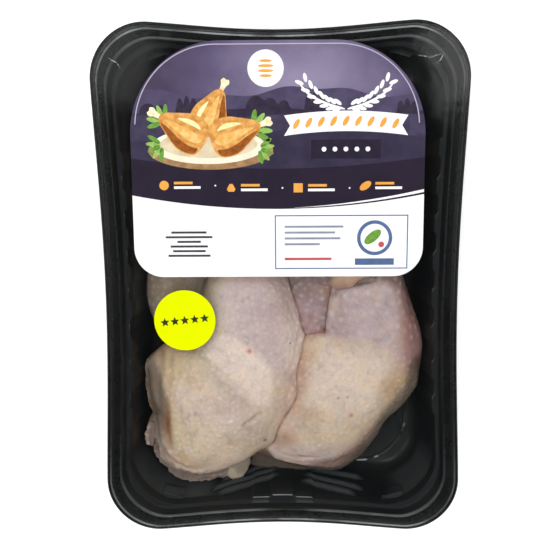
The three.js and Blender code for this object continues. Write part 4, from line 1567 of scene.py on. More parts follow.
def front_right_leg() -> Leg:
    """Returns the leg on the right, violet over the muscle, cream over the fat, with a folded foot."""
    groove, step = FoldKind.GROOVE, FoldKind.STEP
    return Leg(
        name="chicken_leg_front_right",
        node="leg_front_right",
        base=Tone.GREY_CREAM,
        crease=Tone.ROSE,
        dim=0.95,
        voxel=0.68,
        seed=11,
        patches=(
            Patch(Tone.CREAM, ((24, -34), (64, -36), (62, -52), (46, -70), (24, -74), (8, -66)), soft=9,
                strength=0.9),
            spot(Tone.PEACH, 36, -46, 18, 12, 0.25),
            spot(Tone.OCHRE, 32, -82, 18, 13, 0.2, -10),
            Patch(Tone.LILAC, ((24, -4), (48, 6), (66, 4), (78, -16), (80, -38), (66, -40), (57, -35),
                (46, -30), (36, -30), (24, -30)), soft=3, strength=0.95),
            spot(Tone.MAUVE, 50, -16, 20, 16, 0.3),
            spot(Tone.ROSE, 69, -28, 9, 24, 0.6, -6),
            spot(Tone.PEACH, 26, -10, 4, 16, 0.5, -6),
            spot(Tone.OCHRE, 15, -38, 5, 14, 0.3, -24),
            spot(Tone.OCHRE, 52, -78, 8, 12, 0.35, -40),
            spot(Tone.MAUVE, 30, -20, 8, 9, 0.3),
            spot(Tone.OCHRE, 60.7, -56.0, 8, 11, 0.75, -30),
            spot(Tone.OCHRE, 16.3, -72.1, 9, 5, 0.45, -8),
            spot(Tone.OCHRE, 20.7, -84.9, 5, 4, 0.35),
            spot(Tone.ROSE, 9, -54, 6, 22, 0.5, -10),
            spot(Tone.BROWN, 8, -58, 5, 20, 0.4, -10),
            spot(Tone.ROSE, 0, -88, 11, 8, 0.5, 20),
            spot(Tone.BROWN, 3, -88, 7, 4, 0.3, 30),
            spot(Tone.PEACH, 0, -99, 9, 3, 0.35, -16),
            spot(Tone.ROSE, 22, -103, 16, 3.4, 0.5, 4),
            spot(Tone.LILAC, 16, -99, 24, 7, 0.7),
            spot(Tone.ROSE, 40, -93, 14, 5, 0.4, 35),
            spot(Tone.BLOOD, 37.4, -71.9, 1.3, 1.3, 0.65),
            spot(Tone.PORE, 30.5, -61.9, 0.9, 0.8, 0.6),
            spot(Tone.PORE, 35.4, -61.4, 0.7, 0.6, 0.65),
            Patch(Tone.CLARET, ((56, 6), (60, -4), (62.5, -14), (64.5, -26), (65.5, -36), (66.5, -48),
                (84, -48), (84, 6)), soft=4, strength=0.85),
            # Painted shade on the steep lower right flank, along the foot's lower edge and, in dusk, under
            # the label at the top right
            Patch(Tone.UMBER, ((72, -40), (68.5, -46), (65.2, -58), (55, -70.5), (50, -80.5), (43.5, -88),
                (36, -94.8), (28, -100), (17, -104), (14, -120), (60, -118), (88, -70), (84, -40)), soft=3,
                strength=0.86),
            spot(Tone.PLUM, 26, -103.6, 16, 4.4, 0.85, 6),
            spot(Tone.PLUM, 46, -86, 5, 12, 0.35, -38),
            spot(Tone.DUSK, 64, 4, 10, 6, 0.5, -20),
            spot(Tone.ROSE, 36, -94, 6, 3, 0.35, 30),
            spot(Tone.ASH, 59, -70, 4, 12, 0.35, -38),
            # Painted shade in the hollow under the foot and beside the other leg's tail
            Patch(Tone.HOLLOW_SHADE, ((-9.5, -103), (-5.5, -103.8), (1, -104), (9, -104.8), (21.5, -106.6),
                (33, -106), (36, -124), (-24, -124)), soft=1.1, strength=0.9),
            Patch(Tone.WEDGE, ((-12, -89), (-9.8, -94.6), (-8.4, -97.2), (-6.6, -100.2), (-4.6, -103.4),
                (-9, -106.5), (-24, -106), (-24, -89)), soft=0.9, strength=0.92),
        ),
        pulls=(
            Pull((74, -8, 28), (9, 17, 18), (-4.8, 0, 0)),
            Pull((6.5, -63.4, 34), (9, 9, 18), (3.4, 0, 0)),
            Pull((-1.3, -82.3, 34), (9, 9, 18), (-3.0, 0, 0)),
            Pull((62, -78, 24), (8, 12, 14), (-2.4, 1.6, 0)),
            Pull((-6, -98, 18), (9, 8, 9), (-6.5, -0.5, 0)),
            Pull((10, -101, 24), (22, 2.6, 9), (0, 0, -0.8)),
            Pull((74, -57, 26), (4.5, 5.5, 8), (1.2, -0.8, 0)),
            Pull((30, -106, 22), (9, 6, 12), (0, -2.6, 0)),
            Pull((68, -76, 42), (14, 18, 14), (0, 0, -4.0)),
            Pull((47, 4, 33), (12, 7, 9), (0, 0, 5.0)),
            Pull((18, -33.5, 28), (9, 4.5, 9), (0, 4.0, 3.0)),
            Pull((78, -32, 28), (5, 16, 14), (1.0, 0, 0)),
            Pull((72, 4, 30), (8, 9, 16), (-2.6, 0, 0)),
        ),
        flaps=(
            # The foot's dark underside, coloured as painted shade in the hollow below it
            Flap(
                inner=((-10, -88, 20), (-9, -92, 20), (-7, -97, 19), (-2, -100, 18), (5, -102, 18),
                    (12, -103, 18), (22, -104, 18), (32, -101, 18)),
                outer=((-20.4, -109.5, 14), (-15.5, -112.0, 14), (-9.9, -112.7, 14), (-5.9, -113.0, 14),
                    (-1.2, -114.4, 14), (5.2, -114.6, 14), (11.6, -114.5, 14), (20.4, -114.4, 14)),
                thickness=1.6, root_tone=Tone.WEDGE, edge_tone=Tone.HOLLOW_SHADE, edge_share=0.8, ragged=0.35,
                    blunt=9.0, seed=8,
            ),
            Flap(
                inner=((30, -100, 20), (42, -90, 20), (50, -80, 20), (60, -70, 21), (68, -60, 22)),
                outer=((34, -108.2, 18), (44.5, -98.4, 18), (54, -85.6, 18), (64, -74.6, 19),
                    (74.4, -62, 20)),
                thickness=1.4, root_tone=Tone.UMBER, edge_tone=Tone.ASH, edge_share=0.25, ragged=0.4, seed=12,
            ),
        ),
        # Darker tones in these grooves and below the steps are painted shade
        folds=(
            Fold(step, ((-12.4, -90), (-9.4, -95.4), (-6.6, -99.6), (-4, -102.8), (1.2, -103.6),
                (8.9, -104.4), (21.5, -106.2), (32, -106.2)), 0.9, 1.6, Tone.CLARET, 0.3),
            Fold(groove, ((8, -97.4), (12, -98.3), (17.4, -97.5)), 0.6, 0.7, Tone.UMBER, 0.6),
            Fold(groove, ((-4, -97), (3, -98.2), (10, -99.2), (18, -98.4), (25, -97)), 0.9, 0.35, Tone.ROSE,
                0.4),
            Fold(groove, ((-3, -101), (2, -101.4), (8, -102.6), (15, -102), (24, -101.8)), 1.0, 0.25,
                Tone.ROSE, 0.45),
            Fold(groove, ((20, -104), (28, -103), (36, -98)), 1.3, 0.5, Tone.BROWN, 0.35),
            Fold(step, ((44, -90), (53, -80), (62, -70), (71, -60)), 3.0, 1.0, Tone.ASH, 0.35),
            Fold(groove, ((24, -16), (26, -8), (29, -3.4), (36, -0.6), (44, 1.6), (54, 4), (64, 3)), 3.0, 0.8,
                Tone.SHADE, 0.6),
        ),
        pimples=(
            Pimples(((24, -2), (48, 6), (64, 4), (76, -14), (74, -34), (57, -33), (36, -28), (26, -28)),
                soft=3, spacing=4.4, height=0.5, radius=1.35, pale=0.2),
            Pimples(((12, -34), (70, -36), (72, -56), (52, -76), (20, -94), (2, -84), (6, -60)), soft=5,
                spacing=3.3, height=0.28, radius=0.95, pale=0.22),
            Pimples(((72, -44), (60, -62), (48, -80), (34, -94), (10, -101), (10, -112), (40, -110),
                (76, -70)), soft=2, spacing=2.6, height=0.35, radius=1.1, pale=0.1),
        ),
    )


def back_right_leg() -> Leg:
    """Returns the leg that lies under the label on the right, with its drumstick between the front two."""
    return Leg(
        name="chicken_leg_back_right",
        node="leg_back_right",
        base=Tone.CREAM,
        flank_shade=Tone.ROSE,
        crease=Tone.CLARET,
        voxel=0.9,
        swell=0.5,
        seed=21,
        dim=0.93,
        patches=(
            Patch(Tone.MAUVE, ((4, 30), (24, 30), (24, -4), (26, -36), (4, -36)), soft=4, strength=0.95),
            spot(Tone.CLARET, 16, -26, 10, 8, 0.45),
            # Painted shade at the drumstick's top under the label, and a painted shadow along its right edge
            # where the right leg lies over it
            spot(Tone.PLUM, 13, 4, 15, 15, 0.75),
            Patch(Tone.UMBER, ((23.5, 8), (23, -6), (21.5, -18), (20.5, -28), (28, -28), (28, 8)), soft=2,
                strength=0.7),
            Patch(Tone.OCHRE, ((27, 12), (27.5, -8), (36, -6), (54, 0), (60, 12)), soft=2, strength=0.7),
            spot(Tone.ROSE, 38, 1, 18, 5, 0.6, 10),
            spot(Tone.CLARET, 34, -1, 16, 3, 0.35, 10),
        ),
        pulls=(
            Pull((6, -12, 36), (8, 18, 18), (-4.4, 0, 0)),
            Pull((20, -31, 34), (7, 7, 14), (4.0, -1.2, 0)),
            Pull((10, -31, 34), (7, 7, 14), (-2.0, -1.2, 0)),
            Pull((30, 1, 42), (9, 7, 10), (1.0, -1.2, 0)),
            Pull((46, 4, 42), (8, 7, 10), (4.0, -0.6, 0)),
            Pull((80, 66, 34), (9, 34, 18), (-5.5, 0, 0)),
            Pull((17, -34, 28), (14, 5, 16), (0, 4.5, -1)),
        ),
        pimples=(
            Pimples(((6, 20), (24, 20), (24, -30), (8, -30)), soft=2, spacing=3.0, height=0.95, radius=0.95,
                pale=0.25),
        ),
    )


def back_left_leg() -> Leg:
    """Returns the leg that lies under the label on the left."""
    return Leg(
        name="chicken_leg_back_left",
        node="leg_back_left",
        base=Tone.ASH,
        voxel=0.95,
        swell=0.5,
        seed=31,
        dim=0.86,
        patches=(
            spot(Tone.OCHRE, -60, 0, 12, 20, 0.25),
            spot(Tone.CREAM, -50, 70, 30, 40, 0.7),
        ),
        pimples=(
            Pimples(((-78, 30), (-60, 30), (-60, -30), (-76, -30)), soft=3, pale=0.3),
        ),
    )


# The film, the label and the sticker


@dataclass
class Film:
    """The clear lidding film: stretched flat over the tray, with slight ripples and three short creases,
    whose glints are painted highlights.
    """

    thickness: float = 0.12
    level: float = 50.42
    inset: float = 0.9
    corner: float = 27.2
    columns: int = 150
    rows: int = 210
    crease_half_width: float = 0.22
    crease_lift: float = 0.14
    creases: tuple[tuple[Pair, ...], ...] = (
        ((-84.6, 116.4), (-83.2, 115.4), (-80.8, 114.2), (-78.8, 111.2)),
        ((80.8, 117.8), (79.4, 114.6), (77.0, 112.6)),
        ((68.0, 116.8), (74.6, 115.8), (79.6, 117.4)),
    )

    def outline_at(self, tray: Tray, x_share: np.ndarray, y_share: np.ndarray) -> np.ndarray:
        """Returns places on the film for shares from -1 to 1 across and along it."""
        half_x, half_y = tray.width / 2 - self.inset, tray.length / 2 - self.inset
        y = y_share * half_y
        over = np.clip(np.abs(y) - (half_y - self.corner), 0, self.corner)
        reach = half_x - self.corner + np.sqrt(np.maximum(self.corner**2 - over**2, 0))
        bend = over / self.corner
        reach = reach - tray.pinch(tray.side_pinch, y, tray.length / 2 - tray.rim_corner) * (1 - bend)
        x = x_share * reach
        pull = tray.pinch(tray.end_pinch, x, tray.width / 2 - tray.rim_corner) * np.abs(y_share) ** 3
        return np.column_stack([x, y - np.sign(y) * pull])

    def ripple(self, plan: np.ndarray) -> np.ndarray:
        """Returns the film's height over its level in mm: taut ripples that die out at the seal."""
        x, y = plan[:, 0], plan[:, 1]
        rise = 0.10 * np.sin(x / 11 + y / 37) * np.sin(y / 19 - x / 53)
        rise = rise + 0.05 * np.sin(x / 5.1 - y / 9.7 + 1.3) + 0.04 * np.sin(x / 7.9 + y / 5.3)
        free = ease(0, 22, 84 - np.abs(x)) * ease(0, 22, 123 - np.abs(y))
        return rise * (0.25 + 0.75 * free)

    def build(self, tray: Tray) -> Piece:
        """Returns the film as a thin closed sheet."""

        def place(column: np.ndarray, row: np.ndarray) -> np.ndarray:
            across = np.sin((column / self.columns - 0.5) * np.pi)
            along = np.sin((row / self.rows - 0.5) * np.pi)
            plan = self.outline_at(tray, across, along)
            return raised(plan, self.level + self.ripple(plan))

        film = wrapped_grid("clear_lid_film", self.columns, self.rows, place)
        modify(film, "SOLIDIFY", thickness=self.thickness * MM, offset=1.0)
        smooth(film, 60)
        return film

    def crease_highlights(self) -> Piece:
        """Returns the creases' painted highlights as narrow tapering ribbons on the film."""
        ribbons = []
        for line in self.creases:
            path = np.array(line)
            count = 14
            share = np.linspace(0, len(path) - 1, count + 1)
            middle = np.column_stack([np.interp(share, np.arange(len(path)), path[:, k]) for k in (0, 1)])
            way = np.gradient(middle, axis=0)
            side = np.column_stack([-way[:, 1], way[:, 0]]) / np.linalg.norm(way, axis=1)[:, None]
            half = self.crease_half_width * np.sqrt(np.sin(np.linspace(0.05, np.pi - 0.05, count + 1)))

            def place(column: np.ndarray, row: np.ndarray) -> np.ndarray:
                i = column.astype(int)
                plan = middle[i] + side[i] * (half[i] * (2 * row - 1))[:, None]
                height = self.level + self.thickness + self.crease_lift
                return raised(plan, height)

            ribbons.append(wrapped_grid("crease", count, 1, place))
            face_towards(ribbons[-1])
        return join(ribbons, "film_crease_highlights")


@dataclass
class Label:
    """The printed label: an arched sheet of coated paper with an evening landscape over a white field."""

    width: float = 148.0
    length: float = 118.0
    centre: Pair = (-1.3, 65.5)
    top_corner: float = 46.0
    foot_corner: float = 15.0
    paper_foot: float = 50.87
    paper_top: float = 50.985
    layer: float = 0.022
    level: float = 51.0
    ground_foot: Pair = (41.4, 7.2)
    band_top: Pair = (61.8, 5.4)
    shapes: dict[str, list[Piece]] = field(default_factory=dict)

    def outline(self) -> np.ndarray:
        """Returns the label's outline in mm, anticlockwise from its right side."""
        x0, y0 = self.centre
        half_x, half_y = self.width / 2, self.length / 2
        top, foot = self.top_corner, self.foot_corner
        points = []
        corners = ((1, 1, top), (-1, 1, top), (-1, -1, foot), (1, -1, foot))
        for quarter, (sx, sy, radius) in enumerate(corners):
            for angle in np.linspace(0, np.pi / 2, 32) + quarter * np.pi / 2:
                x = sx * (half_x - radius) + radius * math.cos(angle)
                y = sy * (half_y - radius) + radius * math.sin(angle)
                points.append((x0 + x, y0 + y))
        return np.array(points)

    def bow(self, line: Pair, x: np.ndarray) -> np.ndarray:
        """Returns a curved line's height across the label. The line is its middle height and its rise."""
        return line[0] + line[1] * ((x - self.centre[0]) / (self.width / 2)) ** 2

    def foot_line(self, x: np.ndarray) -> np.ndarray:
        """Returns the height of the violet ground's curved lower edge."""
        return self.bow(self.ground_foot, x)

    def band_line(self, x: np.ndarray) -> np.ndarray:
        """Returns the height of the dark band's curved upper edge."""
        return self.bow(self.band_top, x)

    def ink(self, colour: str, outline: np.ndarray) -> None:
        """Prints a flat shape in a named ink."""
        self.shapes.setdefault(colour, []).append(shaped_disc(colour, outline, self.level))

    def next_layer(self) -> None:
        """Lifts what is printed next clear of what lies below it."""
        self.level += self.layer

    def bar(self, colour: str, x: float, y: float, width: float, height: float) -> None:
        """Prints an upright rectangle by its lower left corner and size."""
        self.ink(colour, np.array([(x, y), (x + width, y), (x + width, y + height), (x, y + height)]))

    def ends(self, x: np.ndarray) -> tuple[np.ndarray, np.ndarray]:
        """Returns the heights of the label's lower and upper edge at places across it."""
        x0, y0 = self.centre
        heights = []
        for side, radius in ((-1, self.foot_corner), (1, self.top_corner)):
            over = np.clip(np.abs(x - x0) - (self.width / 2 - radius), 0, radius)
            heights.append(y0 + side * (self.length / 2 - radius + np.sqrt(radius**2 - over**2)))
        return heights[0], heights[1]

    def band(self, colour: str, upper: Curve | None, lower: Curve) -> None:
        """Prints the part of the label between two curves that run right across it.

        Args:
            colour: The ink's name.
            upper: Gives the band's upper height at places across, or None for the label's own edge.
            lower: Gives its lower height.
        """
        columns = 260

        def place(column: np.ndarray, row: np.ndarray) -> np.ndarray:
            x = self.centre[0] - np.cos(column / columns * np.pi) * self.width / 2
            foot, top = self.ends(x)
            high = np.clip(upper(x), foot, top) if upper else top
            y = np.where(row > 0.5, high, np.clip(lower(x), foot, top))
            return np.column_stack([x, y, np.full(len(x), self.level)])

        strip = wrapped_grid(colour, columns, 1, place)
        face_towards(strip)
        self.shapes.setdefault(colour, []).append(strip)

    def ground(self) -> None:
        """Prints the violet field with its hills, trees and fields, its dark band, arch line and stripe."""
        self.band("dusk", None, self.foot_line)
        self.next_layer()

        def far(v: np.ndarray) -> np.ndarray:
            return np.maximum(99.5 + 2.4 * np.sin(v / 15 + 0.6) + 0.9 * np.sin(v / 5 + 1), self.woods(v))

        def meadow(v: np.ndarray) -> np.ndarray:
            return 88.5 + 1.3 * np.sin(v / 21)

        def furrows(v: np.ndarray) -> np.ndarray:
            return 78.0 + 3.0 * np.sin(v / 33 + 1.2)

        self.band("far_hills", far, self.woods)
        self.band("near_hills", self.woods, meadow)
        self.band("field_far", meadow, furrows)
        self.band("field_near", furrows, self.band_line)
        self.band("dark_foot", self.band_line, self.foot_line)
        self.next_layer()
        self.arch_line()
        self.foot_stripe()

    def woods(self, x: np.ndarray) -> np.ndarray:
        """Returns the height of the near hills' tops, with round trees and rows of poplars on them."""
        crowns = (
            (-66, 4.5, 5), (-60, 3.5, 4), (-50, 1.9, 7), (-46.5, 1.8, 8), (-43.2, 1.9, 6.6),
            (-12, 5, 6), (-5, 4, 5), (2, 3, 4), (14, 1.8, 7), (17.3, 1.8, 8.5), (20.6, 1.8, 7),
            (60, 1.9, 5.5), (63.3, 1.8, 6.6), (66.6, 1.9, 5),
        )
        rise = np.zeros_like(x)
        for at, half, tall in crowns:
            rise = np.maximum(rise, tall * np.sqrt(np.maximum(0, 1 - ((x - at) / half) ** 2)))
        return 90.5 + 1.2 * np.sin(x / 19 + 2) + rise

    def arch_line(self) -> None:
        """Prints the thin pale line that follows the arch."""
        angle = np.radians(np.linspace(3, 90, 44))
        sides = []
        for radius in (40.95, 40.45):
            right = np.column_stack([28.9 + radius * np.cos(angle), 82.0 + radius * np.sin(angle)])
            sides.append(np.vstack([right, (right * (-1, 1) - (3.2, 0))[::-1]]))
        self.ink("pale_line", np.vstack([sides[0], sides[1][::-1]]))

    def foot_stripe(self) -> None:
        """Prints the pale stripe that widens to the right along the violet ground's lower edge."""
        x = np.linspace(7.0, self.centre[0] + self.width / 2 - 0.1, 40)
        share = (x - x[0]) / (x[-1] - x[0])
        lower = self.foot_line(x) + 0.5 + 0.55 * share
        upper = lower + 0.05 + 1.4 * share
        self.ink("white", np.vstack([np.column_stack([x, lower]), np.column_stack([x, upper])[::-1]]))

    def dish(self) -> None:
        """Prints an oval dish of roast drumsticks with green leaves, on the left."""
        level = self.level
        x, y = -36.0, 79.0
        ovals = (
            ("board", 1, -8.0, 31.5, 9.6),
            ("cream", 0, -5.8, 28.5, 9.0),
            ("cream_shade", 0, -5.0, 24.5, 6.8),
        )
        for colour, right, up, wide, deep in ovals:
            self.ink(colour, oval((x + right, y + up), (wide, deep)))
            self.next_layer()
        sprigs = ((22, 2, 25, 1.2), (-23, -5, 205, 1.0), (25, -7, -20, 0.95), (-22, 6, 140, 1.05))
        for right, up, turn, size in sprigs:
            cx, cy = x + right, y + up
            for spread in (-56, -28, 0, 28, 56):
                c, s = heading(turn + spread)
                near = (cx + 5.0 * size * c, cy + 5.0 * size * s)
                leaf = oval(near, (3.6 * size, 1.15 * size), turn + spread, 20)
                self.ink("leaf_light" if spread % 56 else "leaf", leaf)
        self.next_layer()
        places = ((x + 1, y + 9.5, 64, 1.15), (x - 11.5, y + 1.5, 150, 1.25), (x + 12.0, y - 0.5, 20, 1.25))
        side = [(9, -0.9), (14, -1.0), (15.4, -2.2), (17.2, -1.2)]
        bone = [*side, (16.4, 0), *((u, -v) for u, v in reversed(side))]
        for cx, cy, turn, size in places:
            self.ink("bone", self.laid(bone, (cx, cy), turn, size))
        self.next_layer()
        for cx, cy, turn, size in places:
            self.drumstick((cx, cy), turn, size)
        self.level = level

    def laid(
        self, corners: list[Pair], place: Pair, turn: float, size: float
    ) -> np.ndarray:
        """Returns a rounded shape, enlarged, turned by an angle in degrees and moved to a place."""
        c, s = heading(turn)
        return rounded(corners) * size @ np.array([[c, s], [-s, c]]) + place

    def drumstick(self, place: Pair, turn: float, size: float) -> None:
        """Prints one roast drumstick: a golden bulb, browner on its lower side, with a gleam on top."""
        down = -1 if abs(turn) < 90 else 1
        half = [(-9, -4), (-7, -7.4), (0, -8.2), (6, -5.0), (12, -1.8)]
        bulb = [*half, *((u, -v) for u, v in reversed(half))]
        under = [(-8.2, 3.0), (-7, 7.0), (0, 7.8), (6, 4.6), (11.6, 1.5), (6, 2.2), (0, 4.2), (-5, 4.4)]
        belly = [(-8.0, 0), (-6, 2.6), (0, 2.4), (7, 0.8), (10, 0.2), (6, -0.8), (0, -1.4), (-6, -1.2)]
        shine = [(-6, -3.4), (-2, -5.6), (2.5, -4.6), (6, -2.8), (2, -3.0), (-2, -3.4)]
        self.ink("roast", self.laid(bulb, place, turn, size))
        self.next_layer()
        for colour, corners in (("roast_dark", under), ("roast_gold", belly), ("gleam", shine)):
            self.ink(colour, self.laid([(u, down * v) for u, v in corners], place, turn, size))
        self.next_layer()

    def plates(self) -> None:
        """Prints a blank white ribbon with wheat ears over it and a dark plate under it, on the right."""
        x, y = 33.0, 83.0
        across = np.linspace(-1, 1, 24)
        lower = np.column_stack([31 * across, 2.2 * (1 - across**2) - 5])
        upper = (lower + (0, 10))[::-1]
        self.ink("white", np.vstack([lower, [(28, 0)], upper, [(-28, 0)]]) + (x, y))
        stem = [(0.6, 6.6), (9, 8.8), (18, 13.2), (22.5, 18.2)]
        stem += [(23.2, 17.6), (18.6, 12.2), (9.2, 7.6), (0.6, 5.4)]
        for side in (-1, 1):
            self.ink("white", rounded([(x + side * u, y + v + 2) for u, v in stem], 2))
        level = self.level
        for k in range(7):
            self.level = level + self.layer * (1 + k % 2)
            lean, u, v = 8 + 7 * k, 4.5 + 2.9 * k, 9.6 + 0.30 * k * k + 0.3 * k
            for side in (-1, 1):
                for way in (-1, 1):
                    c, s = heading(lean + 90 * way)
                    grain = (x + side * (u + 1.9 * c), y + v + 1.9 * s)
                    self.ink("white", oval(grain, (2.3, 0.95), side * (lean + 28 * way), 16))
        self.level = level
        self.bar("plate", x - 17.5, y - 16.4, 35, 9.4)
        self.next_layer()
        for k in range(9):
            bow = 2.2 * (1 - ((k - 4) * 6.2 / 31) ** 2)
            self.ink("orange", oval((x - 24.8 + 6.2 * k, y + bow), (1.2, 2.8), -30, 16))
        for k in range(5):
            self.ink("white", oval((x - 11 + 5.5 * k, y - 11.7), (1.2, 1.2), 0, 16))
        self.level -= self.layer
        self.ink("white", oval((-7.0, 111.0), (9.0, 9.0), 0, 48))
        self.next_layer()
        for k in range(4):
            self.ink("orange", oval((-7.0, 107.4 + 2.4 * k), (4.4 - 0.9 * abs(k - 1.5), 0.75), 0, 20))
        self.level -= self.layer

    def icons(self) -> None:
        """Prints four small orange marks with pairs of bars in the dark band, and dots between them."""
        for k, x in enumerate((-59.0, -25.0, 9.0, 43.0)):
            y = 54.6 - 2.6 * (1 - ((x + 1.3) / 74) ** 2)
            if k == 0:
                self.ink("orange", oval((x, y), (2.4, 2.4), 0, 24))
            elif k == 1:
                self.ink("orange", rounded([(x - 2.9, y - 2.0), (x + 2.9, y - 2.0), (x, y + 3.2)], 1))
            elif k == 2:
                self.bar("orange", x - 2.3, y - 2.3, 4.6, 4.6)
            else:
                self.ink("orange", oval((x, y), (3.3, 1.8), 35, 24))
            self.bar("orange", x + 5.0, y + 0.55, 9.5, 1.3)
            self.bar("white", x + 5.0, y - 1.75, 13.5, 1.3)
            if k < 3:
                self.ink("white", oval((x + 26.0, y - 0.2), (0.45, 0.45), 0, 12))

    def small_print(self) -> None:
        """Prints plain bars and an outlined box on the white field."""
        level = self.level
        x, y, width, height = -3.0, 10.4, 68.0, 27.8
        line = 0.6
        self.bar("blue", x, y, width, line)
        self.bar("blue", x, y + height - line, width, line)
        self.bar("blue", x, y + line, line, height - 2 * line)
        self.bar("blue", x + width - line, y + line, line, height - 2 * line)
        for k, share in enumerate((1.0, 0.86, 0.95, 0.6)):
            self.bar("grey", x + 5, y + height - 6.5 - 3.0 * k, 30 * share, 1.1)
        self.bar("red", x + 5, y + 4.6, 24, 1.3)
        self.bar("blue", x + 41, y + 2.0, 20, 3.4)
        self.ink("blue", oval((x + 51, y + 16), (9.0, 9.0), 0, 48))
        self.next_layer()
        self.ink("white_paper", oval((x + 51, y + 16), (7.2, 7.2), 0, 48))
        self.next_layer()
        self.ink("leaf", oval((x + 50, y + 16.5), (5.2, 2.4), 40, 24))
        self.ink("red", oval((x + 54.4, y + 12.6), (1.5, 1.5), 0, 20))
        for k, share in enumerate((0.9, 0.7, 0.8, 0.5, 1.0, 0.75)):
            self.bar("black", -47 - 12 * share, 17.0 + 2.4 * k, 24 * share, 1.1)
        self.level = level

    def build(self) -> Piece:
        """Returns the blank paper sheet as a thin closed body."""
        return paper_body("label_paper", self.outline(), self.paper_foot, self.paper_top)

    def print_all(self) -> dict[str, Piece]:
        """Prints the whole design and returns one piece for each ink."""
        self.small_print()
        self.ground()
        self.icons()
        self.dish()
        self.plates()
        return {colour: join(shapes, "label_print_" + colour) for colour, shapes in self.shapes.items()}


@dataclass
class Sticker:
    """The round sticker: a bright yellow paper disc with a slightly tilted row of dark stars."""

    radius: float = 16.0
    centre: Pair = (-50.3, -16.5)
    foot: float = 51.0
    top: float = 51.2
    tilt: float = 6.0
    stars: int = 5
    pitch: float = 5.2
    star_radii: Pair = (2.5, 1.15)
    print_lift: float = 0.03

    def build(self) -> Piece:
        """Returns the paper disc as a thin closed body."""
        outline = oval(self.centre, (self.radius, self.radius), 0, 96)
        return paper_body("round_sticker", outline, self.foot, self.top)

    def star_row(self) -> Piece:
        """Returns the row of stars as flat print."""
        shapes = []
        c, s = heading(self.tilt)
        for k in range(self.stars):
            along = (k - (self.stars - 1) / 2) * self.pitch
            x, y = self.centre[0] + c * along, self.centre[1] + s * along
            angle = np.linspace(0, 2 * np.pi, 10, endpoint=False) + math.pi / 2 + math.radians(self.tilt)
            reach = np.where(np.arange(10) % 2 == 0, *self.star_radii)
            outline = np.column_stack([x + reach * np.cos(angle), y + reach * np.sin(angle)])
            shapes.append(shaped_disc("star", outline, self.top + self.print_lift))
        return join(shapes, "sticker_print")


# The studio


@dataclass(frozen=True)
class Softbox:
    """A soft area light: where it stands, what it points at, its size in metres and its power in watts."""

    name: str
    place: Triple
    target: Triple
    size: Pair
    power: float
    mirrored: bool = True

    def build(self) -> None:
        """Adds the light to the scene. One that isn't mirrored shows in no gloss, as through a polariser."""
        light = bpy.data.lights.new(self.name, "AREA")
        light.shape = "RECTANGLE"
        light.size, light.size_y = self.size
        light.energy = self.power
        lamp = bpy.data.objects.new(self.name, light)
        bpy.context.scene.collection.objects.link(lamp)
        lamp.visible_glossy = self.mirrored
        lamp.location = self.place
        lamp.rotation_euler = (Vector(self.target) - Vector(self.place)).to_track_quat("-Z", "Y").to_euler()


